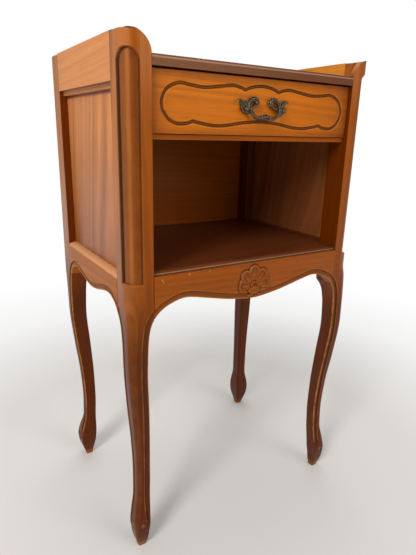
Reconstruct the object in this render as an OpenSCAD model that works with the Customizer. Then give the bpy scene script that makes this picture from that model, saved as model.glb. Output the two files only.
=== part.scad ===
// Bedside chest on cabriole legs: one drawer over an open niche.
// Millimetres, +Z up. The origin is on the floor, at the middle of the whole piece's bounding box.
// The front faces -Y, and the left side is at -X.

/* [Case] */
// Overall width across the posts
case_w = 400; // [340:1:480]
// Depth over the front and back posts
case_d = 288; // [250:1:360]
// Height to the top of the posts and side rails
case_h = 722; // [660:1:780]

/* [Posts] */
// Width of a front post, seen from the front
front_post_w = 36.4; // [32:0.2:44]
// Depth of a front post, seen from the side
front_post_d = 38; // [34:0.5:46]
// Side of a square back post
back_post = 34; // [30:0.5:40]
// Radius of the quarter round on the outer corner of a front post
corner_r = 21.6; // [16:0.2:26]
// Small rounding of the outer corner of a back post
back_corner_r = 2.5; // [1:0.5:5]
// How deep the arched corner panel is sunk
corner_panel_sink = 3.2; // [1.5:0.1:4]
// Distance from the top of a post down to the arch of the corner panel
corner_panel_top = 18.5; // [12:0.5:30]
// Distance from the top of the front apron down to the foot of the corner panel
corner_panel_foot = 10; // [4:0.5:20]
// Radius of the rounded inner top corner of a front post
ear_r = 19; // [10:0.5:19]
// Thickness of a front post where it stands up in front of the gallery
ear_t = 8.5; // [6:0.5:12]
// Radius of the hollow between a post and the gallery
cove_r = 12.5; // [6:0.5:16]

/* [Legs and feet] */
// Distance of the carved band's middle from the inner edge of legs and aprons
bead_w = 5.6; // [5:0.1:8]
// Width of the carved band
line_w = 5.6; // [2:0.1:6]
// Depth of the carved band
line_depth = 1.4; // [0.6:0.1:2]
// Drop of the arches' springing on the legs under the front apron's middle
leg_drop = 3.3; // [0:0.1:8]
// Height of the scroll's eye above the floor
scroll_z = 43; // [36:1:52]
// Distance of the scroll's eye from the outer corner of the leg
scroll_in = 16.5; // [14:0.5:18]
// Radius of the scroll
scroll_r = 9.2; // [7:0.2:10]

/* [Rails and aprons] */
// Thickness of side rails, side aprons and back rails
rail_t = 17.4; // [15:0.2:22]
// Depth of the side recess, from the rail's face to the panel
recess = 12; // [9:0.5:13]
// Height of a top side rail
top_rail_h = 59.5; // [50:0.5:70]
// Height of the step under a top side rail
rail_step = 6.2; // [4:0.2:9]
// Width of the step under a top side rail
rail_step_w = 6; // [3:0.5:8]
// Height of the front apron at the middle
apron_h = 55; // [48:0.5:70]
// Thickness of the front apron
apron_t = 20; // [16:0.5:24]
// Distance from the front apron's top down to the outer edge of a side sill
sill_drop = 6.5; // [4:0.5:12]
// Rise of a side sill from its outer edge to the panel
sill_rise = 4; // [2:0.5:8]
// How much higher the side aprons hang than the front one, at the middle
side_apron_up = 5.5; // [0:0.5:10]
// Height of the back top rail
back_rail_h = 62; // [50:1:80]
// Height of the back bottom rail
back_low_rail_h = 32; // [25:1:45]

/* [Joinery] */
// Thickness of the tenons
tenon_t = 8; // [6:0.5:10]
// Longest tenons; thin back posts take shorter ones
tenon_max = 19; // [12:1:20]
// Wood left above and below a tenon
tenon_shoulder = 9; // [6:0.5:12]
// Room left at the end of a mortise
mortise_gap = 1; // [0.5:0.5:2]
// Clearance round thin panels in their grooves
panel_gap = 0.2; // [0.1:0.1:0.4]
// Thickness of side and back panels
panel_t = 5; // [4:0.5:6]
// Depth of the panel grooves and of the dadoes in the posts
groove_depth = 6; // [4:0.5:8]

/* [Top, niche and floor] */
// Height of the gallery over the top board
gallery_h = 23.4; // [15:0.2:32]
// Thickness of the top board
top_t = 12.6; // [10:0.2:16]
// Setback of the top board's front edge from the posts
top_setback = 1; // [0:0.5:4]
// Rounding of the top board's front edge
top_edge_r = 2.5; // [1:0.5:4]
// Thickness of the board between drawer and niche
ceiling_t = 6.4; // [5:0.2:12]
// Setback of that board's front edge from the posts
ceiling_setback = 10.7; // [7:0.1:16]
// Clear height of the niche
niche_h = 163.7; // [130:0.5:220]
// Thickness of the niche floor
floor_t = 14; // [10:0.5:18]
// Thickness of the niche floor's lip over the front apron
lip_t = 5.8; // [4:0.2:8]
// Setback of the lip's rounded nose from the posts
lip_setback = 5.3; // [2:0.1:8]
// Width of the floor strips
strip_w = 4.6; // [4:0.2:10]
// Height of the floor strips
strip_h = 3.1; // [2:0.1:6]
// Section of the floor cleats, wide and high
cleat = 15; // [12:0.5:18]

/* [Drawer] */
// Height of the drawer front
drawer_h = 72.4; // [60:0.2:90]
// Thickness of the drawer front
drawer_front_t = 16; // [14:0.5:20]
// Setback of the drawer front from the posts
drawer_setback = 6.5; // [3:0.1:10]
// Gap at each end of the drawer front
drawer_side_gap = 1.2; // [0.6:0.1:2]
// Gap over the drawer front
drawer_top_gap = 1.6; // [1:0.1:2.5]
// Gap under the drawer front
drawer_low_gap = 0.6; // [0.4:0.1:1]
// Running gap under the drawer's sides
run_gap = 0.3; // [0.2:0.1:0.5]
// Thickness of the drawer's sides and back
drawer_side_t = 9; // [7:0.5:12]
// Thickness of the drawer's bottom
drawer_bottom_t = 4; // [3:0.5:6]
// Height of the drawer's sides
drawer_side_h = 64.3; // [50:0.1:70]
// Room behind the drawer for its stops
stop_room = 12; // [8:0.5:20]
// Width of the carved cartouche line
cartouche_line_w = 4.4; // [3:0.2:6]
// Depth of the cartouche line
cartouche_depth = 1.8; // [1:0.1:3]
// Plain margin at each end of the cartouche
cartouche_margin = 13.7; // [8:0.1:25]
// Half the height of the cartouche
cartouche_half_h = 26.1; // [18:0.1:30]
// Width of the kickers
kicker_w = 15; // [12:0.5:20]
// Gap between drawer sides and kickers
kicker_gap = 0.5; // [0.3:0.1:1]
// Height of the drawer guides
guide_h = 28; // [20:1:40]

/* [Handle] */
// Distance between the arms of the bail
bail_w = 48.8; // [40:0.2:64]
// Straight length of the bail's arms
bail_arm = 0.5; // [0.5:0.5:12]
// Radius of the bail's corners
bail_bend_r = 10.5; // [6:0.5:12]
// Rise of the bail's bar towards its middle
bail_rise = 1.2; // [0.5:0.1:3]
// Radius of the bail's bar
bail_r = 2.5; // [2:0.1:3]
// Radius of the collar in the middle of the bail
collar_r = 4; // [3:0.1:5]
// Distance of the bail's pins from the drawer's face
pin_out = 8.5; // [7:0.1:14]
// Radius of the bail's pins
pin_r = 1.6; // [1.2:0.1:2]
// Radial running clearance of the pins
pin_gap = 0.06; // [0.03:0.01:0.09]
// Radius of the lugs that hold the pins
lug_r = 4.2; // [3.6:0.1:5]
// Thickness of the rosettes' back plates
rosette_t = 2.6; // [2:0.1:4]
// Radius of the rosettes' studs
stud_r = 2; // [1.5:0.1:3]
// Height of the handle's pins over the middle of the drawer front
handle_up = -3.2; // [-12:0.1:12]

/* [Hidden] */
$fn = 64;

wood = [0.70, 0.38, 0.12];
wood_side = [0.76, 0.50, 0.30];
wood_dark = [0.42, 0.22, 0.12];
wood_inner = [0.60, 0.44, 0.28];
bronze = [0.33, 0.29, 0.24];
steel = [0.55, 0.55, 0.55];

// The handle stands out past the posts, so the case lies a little behind the origin
reach = pin_out + max(collar_r, lug_r) - drawer_setback;
yf = reach - (case_d + reach) / 2;
yb = yf + case_d;
side_x = case_w / 2;
post_x = side_x - front_post_w;
back_post_x = side_x - back_post;
rail_x = side_x - rail_t;
post_y = yf + front_post_d;
back_post_y = yb - back_post;
side_len = back_post_y - post_y;

// Depth of the side panels behind their sills, and their gap under the top rails
panel_in = 9;
head_gap = 0.2;

// Levels, from the top down
top_z = case_h - gallery_h;
top_under = top_z - top_t;
drawer_top = top_under - drawer_top_gap;
drawer_low = drawer_top - drawer_h;
ceiling_top = drawer_low - drawer_low_gap;
ceiling_under = ceiling_top - ceiling_t;
floor_z = ceiling_under - niche_h;
floor_under = floor_z - floor_t;
apron_top = floor_z - lip_t;
apron_low = apron_top - apron_h;
leg_top = apron_low - leg_drop;
side_low = apron_low + side_apron_up;
sill_z = apron_top - sill_drop;
panel_seat = sill_z + sill_rise - panel_in;
rail_low = case_h - top_rail_h;
panel_head = rail_low + rail_step - head_gap;

// Curves through control points
function bend(p0, p1, p2, p3, t) =
    0.5 * (2 * p1 + (p2 - p0) * t + (2 * p0 - 5 * p1 + 4 * p2 - p3) * t * t
    + (3 * p1 - p0 - 3 * p2 + p3) * t * t * t);
function curve(p, n) = [
    for (i = [0:len(p) - 2])
        for (j = [0:n - 1])
            bend(p[max(i - 1, 0)], p[i], p[i + 1], p[min(i + 2, len(p) - 1)], j / n),
    p[len(p) - 1]
];
function loop_curve(p, n) = [
    for (i = [0:len(p) - 1])
        for (j = [0:n - 1])
            let (m = len(p))
                bend(p[(i + m - 1) % m], p[i], p[(i + 1) % m], p[(i + 2) % m], j / n)
];
function backwards(p) = [for (i = [len(p) - 1:-1:0]) p[i]];
function both_halves(p) = concat([for (i = [len(p) - 1:-1:1]) [-p[i][0], p[i][1]]], p);
// The line that runs beside c at the distance d, to its left
function beside(c, d, closed = false) = [
    for (i = [0:len(c) - 1])
        let (
            m = len(c),
            a = closed ? c[(i + m - 1) % m] : c[max(i - 1, 0)],
            b = closed ? c[(i + 1) % m] : c[min(i + 1, m - 1)],
            t = (b - a) / norm(b - a)
        )
            c[i] + d * [-t[1], t[0]]
];
// Value of a table of [height, value] rows at the height z, without overshoot between rows
function step_slope(t, i) = (t[i + 1][1] - t[i][1]) / (t[i + 1][0] - t[i][0]);
function row_slope(t, i) =
    i == 0 || i == len(t) - 1 ? 0
    : let (p = step_slope(t, i - 1), q = step_slope(t, i)) p * q <= 0 ? 0 : 2 * p * q / (p + q);
function row_at(t, z, i = 0) = i >= len(t) - 2 || z < t[i + 1][0] ? i : row_at(t, z, i + 1);
function value_at(t, z) =
    let (
        i = row_at(t, z),
        h = t[i + 1][0] - t[i][0],
        s = (z - t[i][0]) / h,
        m0 = row_slope(t, i) * h,
        m1 = row_slope(t, i + 1) * h
    )
        (1 + 2 * s) * (1 - s) * (1 - s) * t[i][1] + s * (1 - s) * (1 - s) * m0
        + s * s * (3 - 2 * s) * t[i + 1][1] - s * s * (1 - s) * m1;

// Lower edges, as [share of the half span, rise over the middle]
front_wave = [
    [0, 0], [0.245, 4.3], [0.428, 10.5], [0.562, 15.5], [0.654, 18.7], [0.721, 19.6],
    [0.789, 18], [0.862, 13.9], [0.917, 9.4], [0.96, 4]
];
side_wave = [
    [0, 0], [0.222, 2.8], [0.342, 6], [0.518, 10.4], [0.647, 12.2], [0.74, 11.7],
    [0.804, 9.6], [0.878, 5.6], [0.94, 0.2]
];
// How an arch runs on down the inner edge of a leg, as [step into the leg, drop]
arch_foot = [[2.3, -5], [4.9, -11.5], [6.6, -18.5], [7.9, -29], [8.8, -39.7]];
function edge_line(wave, half, low) =
    curve(both_halves(concat(
        [for (p = wave) [p[0] * half, low + p[1]]],
        [[half, leg_top]],
        [for (p = arch_foot) [half + p[0], leg_top + p[1]]]
    )), 3);
front_edge = edge_line(front_wave, post_x, apron_low);
side_edge = edge_line(side_wave, side_len / 2, side_low);

// Lines of a cabriole leg, as [share of its height, distance from the outer plane]
outer_rows = [
    [0, 12], [0.032, 8.5], [0.066, 5], [0.111, 3.5], [0.159, 6], [0.239, 11.9], [0.345, 12.9],
    [0.477, 10.8], [0.636, 5.1], [0.795, 0.6], [0.875, 0], [1, 0]
];
inner_rows = [
    [0, 24.5], [0.032, 26], [0.066, 28], [0.111, 30], [0.159, 31], [0.239, 32], [0.345, 33.2],
    [0.477, 32.5], [0.636, 29.7], [0.795, 26.5], [0.891, 27.5]
];
// The flare under the post, as [share of the height, share of the way from the waist to the post's size]
flare_rows = [[0.923, 0.16], [0.951, 0.3], [0.97, 0.48], [0.987, 0.755], [1, 1]];
leg_waist = 27;
function inner_line(size) = concat(inner_rows, [
    for (f = flare_rows) [f[0], leg_waist + f[1] * (size - leg_waist)]
]);
// Rounding of the outer corner, as [share of the height, radius]
knee_r = 9;
function round_rows(top_r) = [
    [0, 3], [0.159, 6], [0.477, 7.5], [0.795, knee_r],
    [0.888, knee_r + 0.1 * (top_r - knee_r)], [0.96, knee_r + 0.3 * (top_r - knee_r)], [1, top_r]
];
leg_levels = concat([for (k = [0:34]) k * 0.026], [for (k = [0:10]) 0.9 + k * 0.01]);
edge_r = 1.6;
inner_chamfer = 2.5;

// Outline of a leg at a share z of its height, from its outer corner: wide and deep are the post's sizes
function leg_outline(z, wide, deep, top_r, front_cut, side_cut) =
    let (
        a = value_at(outer_rows, z),
        bu = value_at(inner_line(wide), z),
        bv = value_at(inner_line(deep), z),
        r = value_at(round_rows(top_r), z),
        gu = bu - bead_w,
        gv = bv - bead_w,
        half = line_w / 2,
        soft = 0.3 * edge_r
    )
        concat(
            [for (k = [0:6]) [a + r - r * cos(k * 15), a + r - r * sin(k * 15)]],
            [[gu - half, a], [gu, a + front_cut], [gu + half, a]],
            [[bu - edge_r, a], [bu - soft, a + soft], [bu, a + edge_r]],
            [[bu, bv - inner_chamfer], [bu - inner_chamfer, bv]],
            [[a + edge_r, bv], [a + soft, bv - soft], [a, bv - edge_r]],
            [[a, gv + half], [a + side_cut, gv], [a, gv - half]]
        );

// Solid through outlines at rising heights, closed by a middle point at each end
module loft(rings, heights) {
    n = len(rings[0]);
    last = len(rings) - 1;
    middles = [
        for (k = [0, last])
            let (u = [for (p = rings[k]) p[0]], v = [for (p = rings[k]) p[1]])
                [(min(u) + max(u)) / 2, (min(v) + max(v)) / 2, heights[k]]
    ];
    points = concat([
        for (k = [0:last])
            for (p = rings[k]) [p[0], p[1], heights[k]]
    ], middles);
    walls = [
        for (k = [0:last - 1])
            for (i = [0:n - 1])
                let (j = (i + 1) % n)
                    each [
                        [k * n + i, (k + 1) * n + i, (k + 1) * n + j],
                        [k * n + i, (k + 1) * n + j, k * n + j]
                    ]
    ];
    ends = [
        for (i = [0:n - 1])
            let (j = (i + 1) % n, m = (last + 1) * n)
                each [[i, j, m], [last * n + j, last * n + i, m + 1]]
    ];
    polyhedron(points, concat(walls, ends), convexity = 8);
}

module leg(wide, deep, top_r, front_cut, side_cut) {
    loft(
        [for (z = leg_levels) leg_outline(z, wide, deep, top_r, front_cut, side_cut)],
        [for (z = leg_levels) z * leg_top]
    );
}

// Carved scroll on a foot: domed eye, sunk ring and rounded rim, as [radius, depth]
scroll_profile = [
    [0, 0], [0.28, 0.1], [0.46, 0.9], [0.52, 2.2], [0.59, 2.7], [0.69, 2.7], [0.75, 1.3],
    [0.85, 0.7], [0.96, 1.4], [1, 3]
];
scroll_out = 1.5;
scroll_root = 9;

module scroll() {
    translate([scroll_in, scroll_out, scroll_z]) rotate([-90, 0, 0]) rotate_extrude()
        polygon(concat(
            [for (p = scroll_profile) [p[0] * scroll_r, p[1]]],
            [[scroll_r, scroll_root], [0, scroll_root]]
        ));
}

// Puts a piece drawn from an outer corner at one of the four corners
module corner(side, end) {
    translate([side * side_x, end < 0 ? yf : yb, 0])
        mirror([side > 0 ? 1 : 0, 0, 0])
            mirror([0, end > 0 ? 1 : 0, 0])
                children();
}
module right_side() {
    mirror([1, 0, 0]) children();
}
module box(x0, x1, y0, y1, z0, z1) {
    translate([x0, y0, z0]) cube([x1 - x0, y1 - y0, z1 - z0]);
}
// Extrudes an outline drawn in x and z along y
module along_y(y0, y1) {
    translate([0, y1, 0]) rotate([90, 0, 0]) linear_extrude(height = y1 - y0) children();
}
// Extrudes an outline drawn in y and z along x
module along_x(x0, x1) {
    translate([x0, 0, 0]) rotate([90, 0, 90]) linear_extrude(height = x1 - x0) children();
}

module post_plan(wide, deep, r) {
    difference() {
        square([wide, deep]);
        difference() {
            square(r);
            translate([r, r]) circle(r);
        }
    }
}

// Plan of the space that the gallery encloses at a post, drawn from the outer corner
module gallery_plan(wide, deep, wall) {
    difference() {
        translate([rail_t, wall]) square([wide - rail_t + 1, deep - wall + 1]);
        translate([rail_t, wall]) difference() {
            square(cove_r);
            translate([cove_r, cove_r]) circle(cove_r);
        }
    }
}

// Line carved over a lower edge: an outline that runs along it
function carved_line(edge) = concat(
    beside(edge, bead_w - line_w / 2),
    backwards(beside(edge, bead_w + line_w / 2))
);

panel_arch = (corner_r + 0.2) * sin(43);
module corner_panel_cut() {
    arch_z = case_h - corner_panel_top;
    foot_z = apron_top - corner_panel_foot;
    intersection() {
        translate([corner_r, corner_r, 0]) rotate([0, 0, 182]) rotate_extrude(angle = 86)
            translate([corner_r - corner_panel_sink, foot_z])
                square([corner_panel_sink + 2, arch_z - foot_z + 1]);
        translate([corner_r, corner_r, 0]) rotate([0, 0, -45]) rotate([90, 0, 0])
            linear_extrude(height = 2 * corner_r) {
                translate([-panel_arch - 1, foot_z - 1])
                    square([2 * panel_arch + 2, arch_z - panel_arch - foot_z + 1]);
                translate([0, arch_z - panel_arch]) circle(panel_arch);
            }
    }
}

// Tenons lie inside the rails at the same depth everywhere
tenon_in = 5;
front_tenon_in = 6;
back_tenon_in = 6;
// Wood left over a tenon that ends under a groove or an edge
tenon_rest = 3;
// Setback of the back rail's tenons from its edges
back_low_shoulder = 4;
tenon_l = min(tenon_max, back_post - back_tenon_in - tenon_t - mortise_gap);
top_tenon_z = [rail_low + rail_step + tenon_shoulder, case_h - tenon_shoulder];
side_tenon_z = [leg_top + tenon_shoulder, panel_seat - tenon_rest];
front_tenon_z = [leg_top + 2 * tenon_shoulder, apron_top - tenon_rest];
front_tenon_y = [yf + front_tenon_in, yf + front_tenon_in + tenon_t];
back_tenon_y = [yb - back_tenon_in - tenon_t, yb - back_tenon_in];
back_low_z = [floor_under - back_low_rail_h, floor_under];
back_high_z = case_h - back_rail_h;
back_low_tenon_z = [back_low_z[0] + back_low_shoulder, back_low_z[1] - back_low_shoulder];
back_high_tenon_z = [back_high_z + tenon_shoulder, case_h - tenon_shoulder];

// Distance at which the ceiling's dadoes stop behind its front edge and before the back panel
dado_stop = 5;
dado_gap = 0.5;

// Mortise for a side rail or apron, drawn from the outer corner, in the post's inner face
module side_mortise(deep, z) {
    box(tenon_in, tenon_in + tenon_t, deep - tenon_l - mortise_gap, deep + 1, z[0], z[1]);
}

module front_leg() {
    difference() {
        union() {
            leg(front_post_w, front_post_d, corner_r, line_depth, line_depth);
            difference() {
                translate([0, 0, leg_top]) linear_extrude(height = case_h - leg_top)
                    post_plan(front_post_w, front_post_d, corner_r);
                // the rounded inner top corner
                translate([0, -1, 0]) difference() {
                    box(rail_t, front_post_w + 1, 0, front_post_d + 2, case_h - ear_r, case_h + 1);
                    translate([rail_t, -1, case_h - ear_r]) rotate([-90, 0, 0])
                        cylinder(r = ear_r, h = front_post_d + 4);
                }
            }
            scroll();
            mirror([1, -1, 0]) scroll();
        }
        corner_panel_cut();
        translate([0, 0, top_z]) linear_extrude(height = gallery_h + 1)
            gallery_plan(front_post_w, front_post_d, ear_t);
        side_mortise(front_post_d, top_tenon_z);
        side_mortise(front_post_d, side_tenon_z);
        // groove of the side panel
        box(recess - panel_gap / 2, recess + panel_t + panel_gap / 2,
            front_post_d - groove_depth, front_post_d + 1, panel_seat, panel_head);
        // mortise of the front apron
        box(front_post_w - tenon_l - mortise_gap, front_post_w + 1,
            front_tenon_y[0] - yf, front_tenon_y[1] - yf, front_tenon_z[0], front_tenon_z[1]);
        // dado of the niche ceiling
        box(front_post_w - groove_depth, front_post_w + 1,
            ceiling_setback + dado_stop, front_post_d + 1, ceiling_under, ceiling_top);
        // carved lines that come over from the aprons
        translate([side_x, 0, 0]) intersection() {
            along_y(-1, line_depth) polygon(carved_line(front_edge));
            box(-side_x, -post_x + 1, -2, line_depth + 1, leg_top, apron_top);
        }
        translate([0, side_len / 2 + front_post_d, 0]) intersection() {
            along_x(-1, line_depth) polygon(carved_line(side_edge));
            box(-2, line_depth + 1, -case_d, -side_len / 2 + 1, leg_top, apron_top);
        }
    }
}

module back_leg() {
    difference() {
        union() {
            leg(back_post, back_post, back_corner_r, 0, line_depth);
            translate([0, 0, leg_top]) linear_extrude(height = case_h - leg_top)
                post_plan(back_post, back_post, back_corner_r);
            mirror([1, -1, 0]) scroll();
        }
        translate([0, 0, top_z]) linear_extrude(height = gallery_h + 1)
            gallery_plan(back_post, back_post, rail_t);
        side_mortise(back_post, top_tenon_z);
        side_mortise(back_post, side_tenon_z);
        box(recess - panel_gap / 2, recess + panel_t + panel_gap / 2,
            back_post - groove_depth, back_post + 1, panel_seat, panel_head);
        // mortises of the back rails
        for (z = [back_low_tenon_z, back_high_tenon_z])
            box(back_post - tenon_l - mortise_gap, back_post + 1,
                back_tenon_in, back_tenon_in + tenon_t, z[0], z[1]);
        // rebate of the back panel
        box(back_post - back_rebate, back_post + 1, -1, panel_back + panel_t,
            back_panel_z[0] - panel_gap, back_panel_z[1] + panel_gap);
        // dado of the niche ceiling
        box(back_post - groove_depth, back_post + 1,
            panel_back + panel_t + dado_stop, back_post + 1, ceiling_under, ceiling_top);
        translate([0, side_len / 2 + back_post, 0]) intersection() {
            along_x(-1, line_depth) polygon(carved_line(side_edge));
            box(-2, line_depth + 1, -case_d, -side_len / 2 + 1, leg_top, apron_top);
        }
        pin_holes_in_post();
    }
}

module front_left_leg() {
    color(wood) corner(-1, -1) front_leg();
}
module front_right_leg() {
    color(wood) corner(1, -1) front_leg();
}
module back_left_leg() {
    color(wood) corner(-1, 1) back_leg();
}
module back_right_leg() {
    color(wood) corner(1, 1) back_leg();
}

// Tongue that joins the top board to the side rails
tongue_t = 6;
tongue_l = 5;
tongue_z = top_under + (top_t - tongue_t) / 2;
tongue_end = 6;
tongue_gap = 0.2;
tongue_y = [post_y + tongue_end, back_post_y - tongue_end];

module side_tenons(z) {
    box(-side_x + tenon_in, -side_x + tenon_in + tenon_t, post_y - tenon_l, post_y, z[0], z[1]);
    box(-side_x + tenon_in, -side_x + tenon_in + tenon_t, back_post_y, back_post_y + tenon_l, z[0], z[1]);
}

module top_rail() {
    difference() {
        union() {
            along_y(post_y, back_post_y) translate([-side_x, 0]) polygon([
                [0, case_h], [0, rail_low + rail_step], [rail_step_w, rail_low + rail_step],
                [rail_step_w, rail_low], [recess, rail_low], [recess, rail_low + rail_step],
                [rail_t, rail_low + rail_step], [rail_t, case_h]
            ]);
            side_tenons(top_tenon_z);
        }
        box(-rail_x - tongue_l - tongue_gap, -rail_x + 1, tongue_y[0] - tongue_gap, tongue_y[1] + tongue_gap,
            tongue_z, tongue_z + tongue_t);
    }
}
module left_top_rail() {
    color(wood_side) top_rail();
}
module right_top_rail() {
    color(wood_side) right_side() top_rail();
}

module side_panel() {
    box(-side_x + recess, -side_x + recess + panel_t, post_y - groove_depth + panel_gap,
        back_post_y + groove_depth - panel_gap, panel_seat, panel_head);
}
module left_side_panel() {
    color(wood_side) side_panel();
}
module right_side_panel() {
    color(wood_side) right_side() side_panel();
}

module side_apron() {
    mid_y = (post_y + back_post_y) / 2;
    difference() {
        union() {
            intersection() {
                along_y(post_y, back_post_y) translate([-side_x, 0]) polygon([
                    [0, 0], [0, sill_z], [0.3 * recess, sill_z + 0.6 * sill_rise],
                    [recess, sill_z + sill_rise], [recess, panel_seat], [rail_t, panel_seat], [rail_t, 0]
                ]);
                along_x(-side_x - 1, -rail_x + 1) translate([mid_y, 0]) polygon(concat(
                    [[-case_d, apron_top]], side_edge, [[case_d, apron_top]]
                ));
            }
            side_tenons(side_tenon_z);
        }
        along_x(-side_x - 1, -side_x + line_depth) translate([mid_y, 0]) polygon(carved_line(side_edge));
        cleat_screw_holes();
    }
}
module left_apron() {
    color(wood_side) side_apron();
}
module right_apron() {
    color(wood_side) right_side() side_apron();
}

// The carved line stops on both sides of the shell's root
shell_root_half = 12.5;
// Carved shell: lobes that fan out over a rounded boss with two curls under it
shell_up = 18;
shell_z = apron_low + shell_up;
// Lobes of the shell, as [angle, length]
lobes = [[-80, 29], [-40, 32.6], [0, 34], [40, 32.6], [80, 29]];
lobe_tip_r = 15;
lobe_root_r = 3;
lobe_out = 2.8;
lobe_root_sunk = 1.6;
boss_up = 13;
boss_z = apron_low + boss_up;
boss_r = 6.8;
boss_half = 6;
boss_sunk = 2.6;
ring_sunk = 0.6;
small_arch_r = 5.6;
small_arch_tube = 1.9;
curl_x = 5.2;
curl_r = 2.2;
curl_tube = 1.3;
curl_up = 0.4;

// A lobe widens to its round tip and leans into the wood, so that it stands out by lobe_out there
module shell_lobe(angle, length) {
    sunk = lobe_tip_r - lobe_out;
    shows = sqrt(lobe_tip_r * lobe_tip_r - sunk * sunk);
    run = length - shows;
    axis = norm([run, sunk - lobe_root_sunk]);
    rotate([0, angle, 0]) rotate([-atan((sunk - lobe_root_sunk) / run), 0, 0]) {
        cylinder(r1 = lobe_root_r, r2 = lobe_tip_r, h = axis);
        translate([0, 0, axis]) sphere(lobe_tip_r);
    }
}
module shell() {
    translate([0, yf + lobe_root_sunk, shell_z])
        for (l = lobes)
            shell_lobe(l[0], l[1]);
    translate([0, yf + boss_sunk, boss_z]) {
        rotate([0, 90, 0]) cylinder(r = boss_r, h = 2 * boss_half, center = true);
        for (s = [-1, 1])
            translate([s * boss_half, 0, 0]) sphere(boss_r);
    }
    // small arch on top of the boss
    translate([0, yf + ring_sunk, boss_z + boss_r - 1]) rotate([90, 0, 0]) rotate_extrude(angle = 180)
        translate([small_arch_r, 0]) circle(small_arch_tube);
    // curls under the boss
    for (s = [-1, 1])
        translate([s * curl_x, yf + ring_sunk, boss_z - boss_r - curl_r + curl_up]) rotate([90, 0, 0])
            rotate_extrude() translate([curl_r, 0]) circle(curl_tube);
}

module front_apron() {
    color(wood) {
        difference() {
            intersection() {
                along_y(yf, yf + apron_t) polygon(concat(
                    [[-side_x, apron_top]], front_edge, [[side_x, apron_top]]
                ));
                box(-post_x, post_x, yf - 1, yf + apron_t + 1, 0, apron_top);
            }
            difference() {
                along_y(yf - 1, yf + line_depth) polygon(carved_line(front_edge));
                box(-shell_root_half, shell_root_half, yf - 2, yf + line_depth + 1, 0, apron_top);
            }
        }
        for (s = [-1, 1])
            box(s < 0 ? -post_x - tenon_l : post_x, s < 0 ? -post_x : post_x + tenon_l,
                front_tenon_y[0], front_tenon_y[1], front_tenon_z[0], front_tenon_z[1]);
        intersection() {
            shell();
            box(-side_x, side_x, yf - reach, yf + apron_t - 2, apron_low + 0.5, apron_top);
        }
    }
}

// The back panel lies in rebates a little inside the back of the posts
panel_back = 0.8;
back_rebate = 10;
back_panel_z = [floor_under - 12, back_high_z + 8];

module back_tenons(z) {
    for (s = [-1, 1])
        box(s < 0 ? -back_post_x - tenon_l : back_post_x, s < 0 ? -back_post_x : back_post_x + tenon_l,
            back_tenon_y[0], back_tenon_y[1], z[0], z[1]);
}
module back_top_rail() {
    color(wood_inner) {
        difference() {
            box(-back_post_x, back_post_x, yb - rail_t, yb, back_high_z, case_h);
            box(-side_x, side_x, yb - panel_back - panel_t, yb + 1, 0, back_panel_z[1] + panel_gap);
            translate([0, yb, back_panel_z[1] - pin_edge]) pin_row_holes();
        }
        back_tenons(back_high_tenon_z);
    }
}
module back_bottom_rail() {
    color(wood_inner) {
        difference() {
            box(-back_post_x, back_post_x, yb - rail_t, yb, back_low_z[0], back_low_z[1]);
            box(-side_x, side_x, yb - panel_back - panel_t, yb + 1, back_panel_z[0] - panel_gap, case_h);
            translate([0, yb, back_panel_z[0] + pin_edge]) pin_row_holes();
        }
        intersection() {
            back_tenons(back_low_tenon_z);
            box(-side_x, side_x, 0, yb - panel_back - panel_t, 0, case_h);
        }
    }
}

// Pins of the back panel: a row along each rail and one halfway up each post
pin_r_nail = 0.8;
pin_head_r = 1.9;
pin_head_t = 0.7;
pin_len = 14;
pin_edge = 5;
pin_step = back_post_x / 2;
module nail() {
    translate([0, -panel_back, 0]) rotate([90, 0, 0]) {
        cylinder(r = pin_r_nail, h = pin_len, $fn = 24);
        translate([0, 0, -pin_head_t]) cylinder(r = pin_head_r, h = pin_head_t, $fn = 24);
    }
}
module nail_hole() {
    translate([0, 1, 0]) rotate([90, 0, 0]) cylinder(r = pin_r_nail, h = pin_len + panel_back + 1, $fn = 24);
}
module pin_row_holes() {
    for (k = [-1:1])
        translate([k * pin_step, 0, 0]) nail_hole();
}
pin_post_z = (floor_z + ceiling_under) / 2;
module pin_holes_in_post() {
    translate([back_post - pin_edge, 0, pin_post_z]) mirror([0, 1, 0]) nail_hole();
}
module back_panel() {
    color(wood) difference() {
        box(-back_post_x - back_rebate + panel_gap, back_post_x + back_rebate - panel_gap,
            yb - panel_back - panel_t, yb - panel_back, back_panel_z[0], back_panel_z[1]);
        translate([0, yb, back_panel_z[1] - pin_edge]) pin_row_holes();
        translate([0, yb, back_panel_z[0] + pin_edge]) pin_row_holes();
        for (s = [-1, 1])
            translate([s * (back_post_x + pin_edge), yb, pin_post_z]) nail_hole();
    }
}
module panel_pins() {
    color(steel) {
        for (k = [-1:1])
            for (z = [back_panel_z[0] + pin_edge, back_panel_z[1] - pin_edge])
                translate([k * pin_step, yb, z]) nail();
        for (s = [-1, 1])
            translate([s * (back_post_x + pin_edge), yb, pin_post_z]) nail();
    }
}

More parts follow.
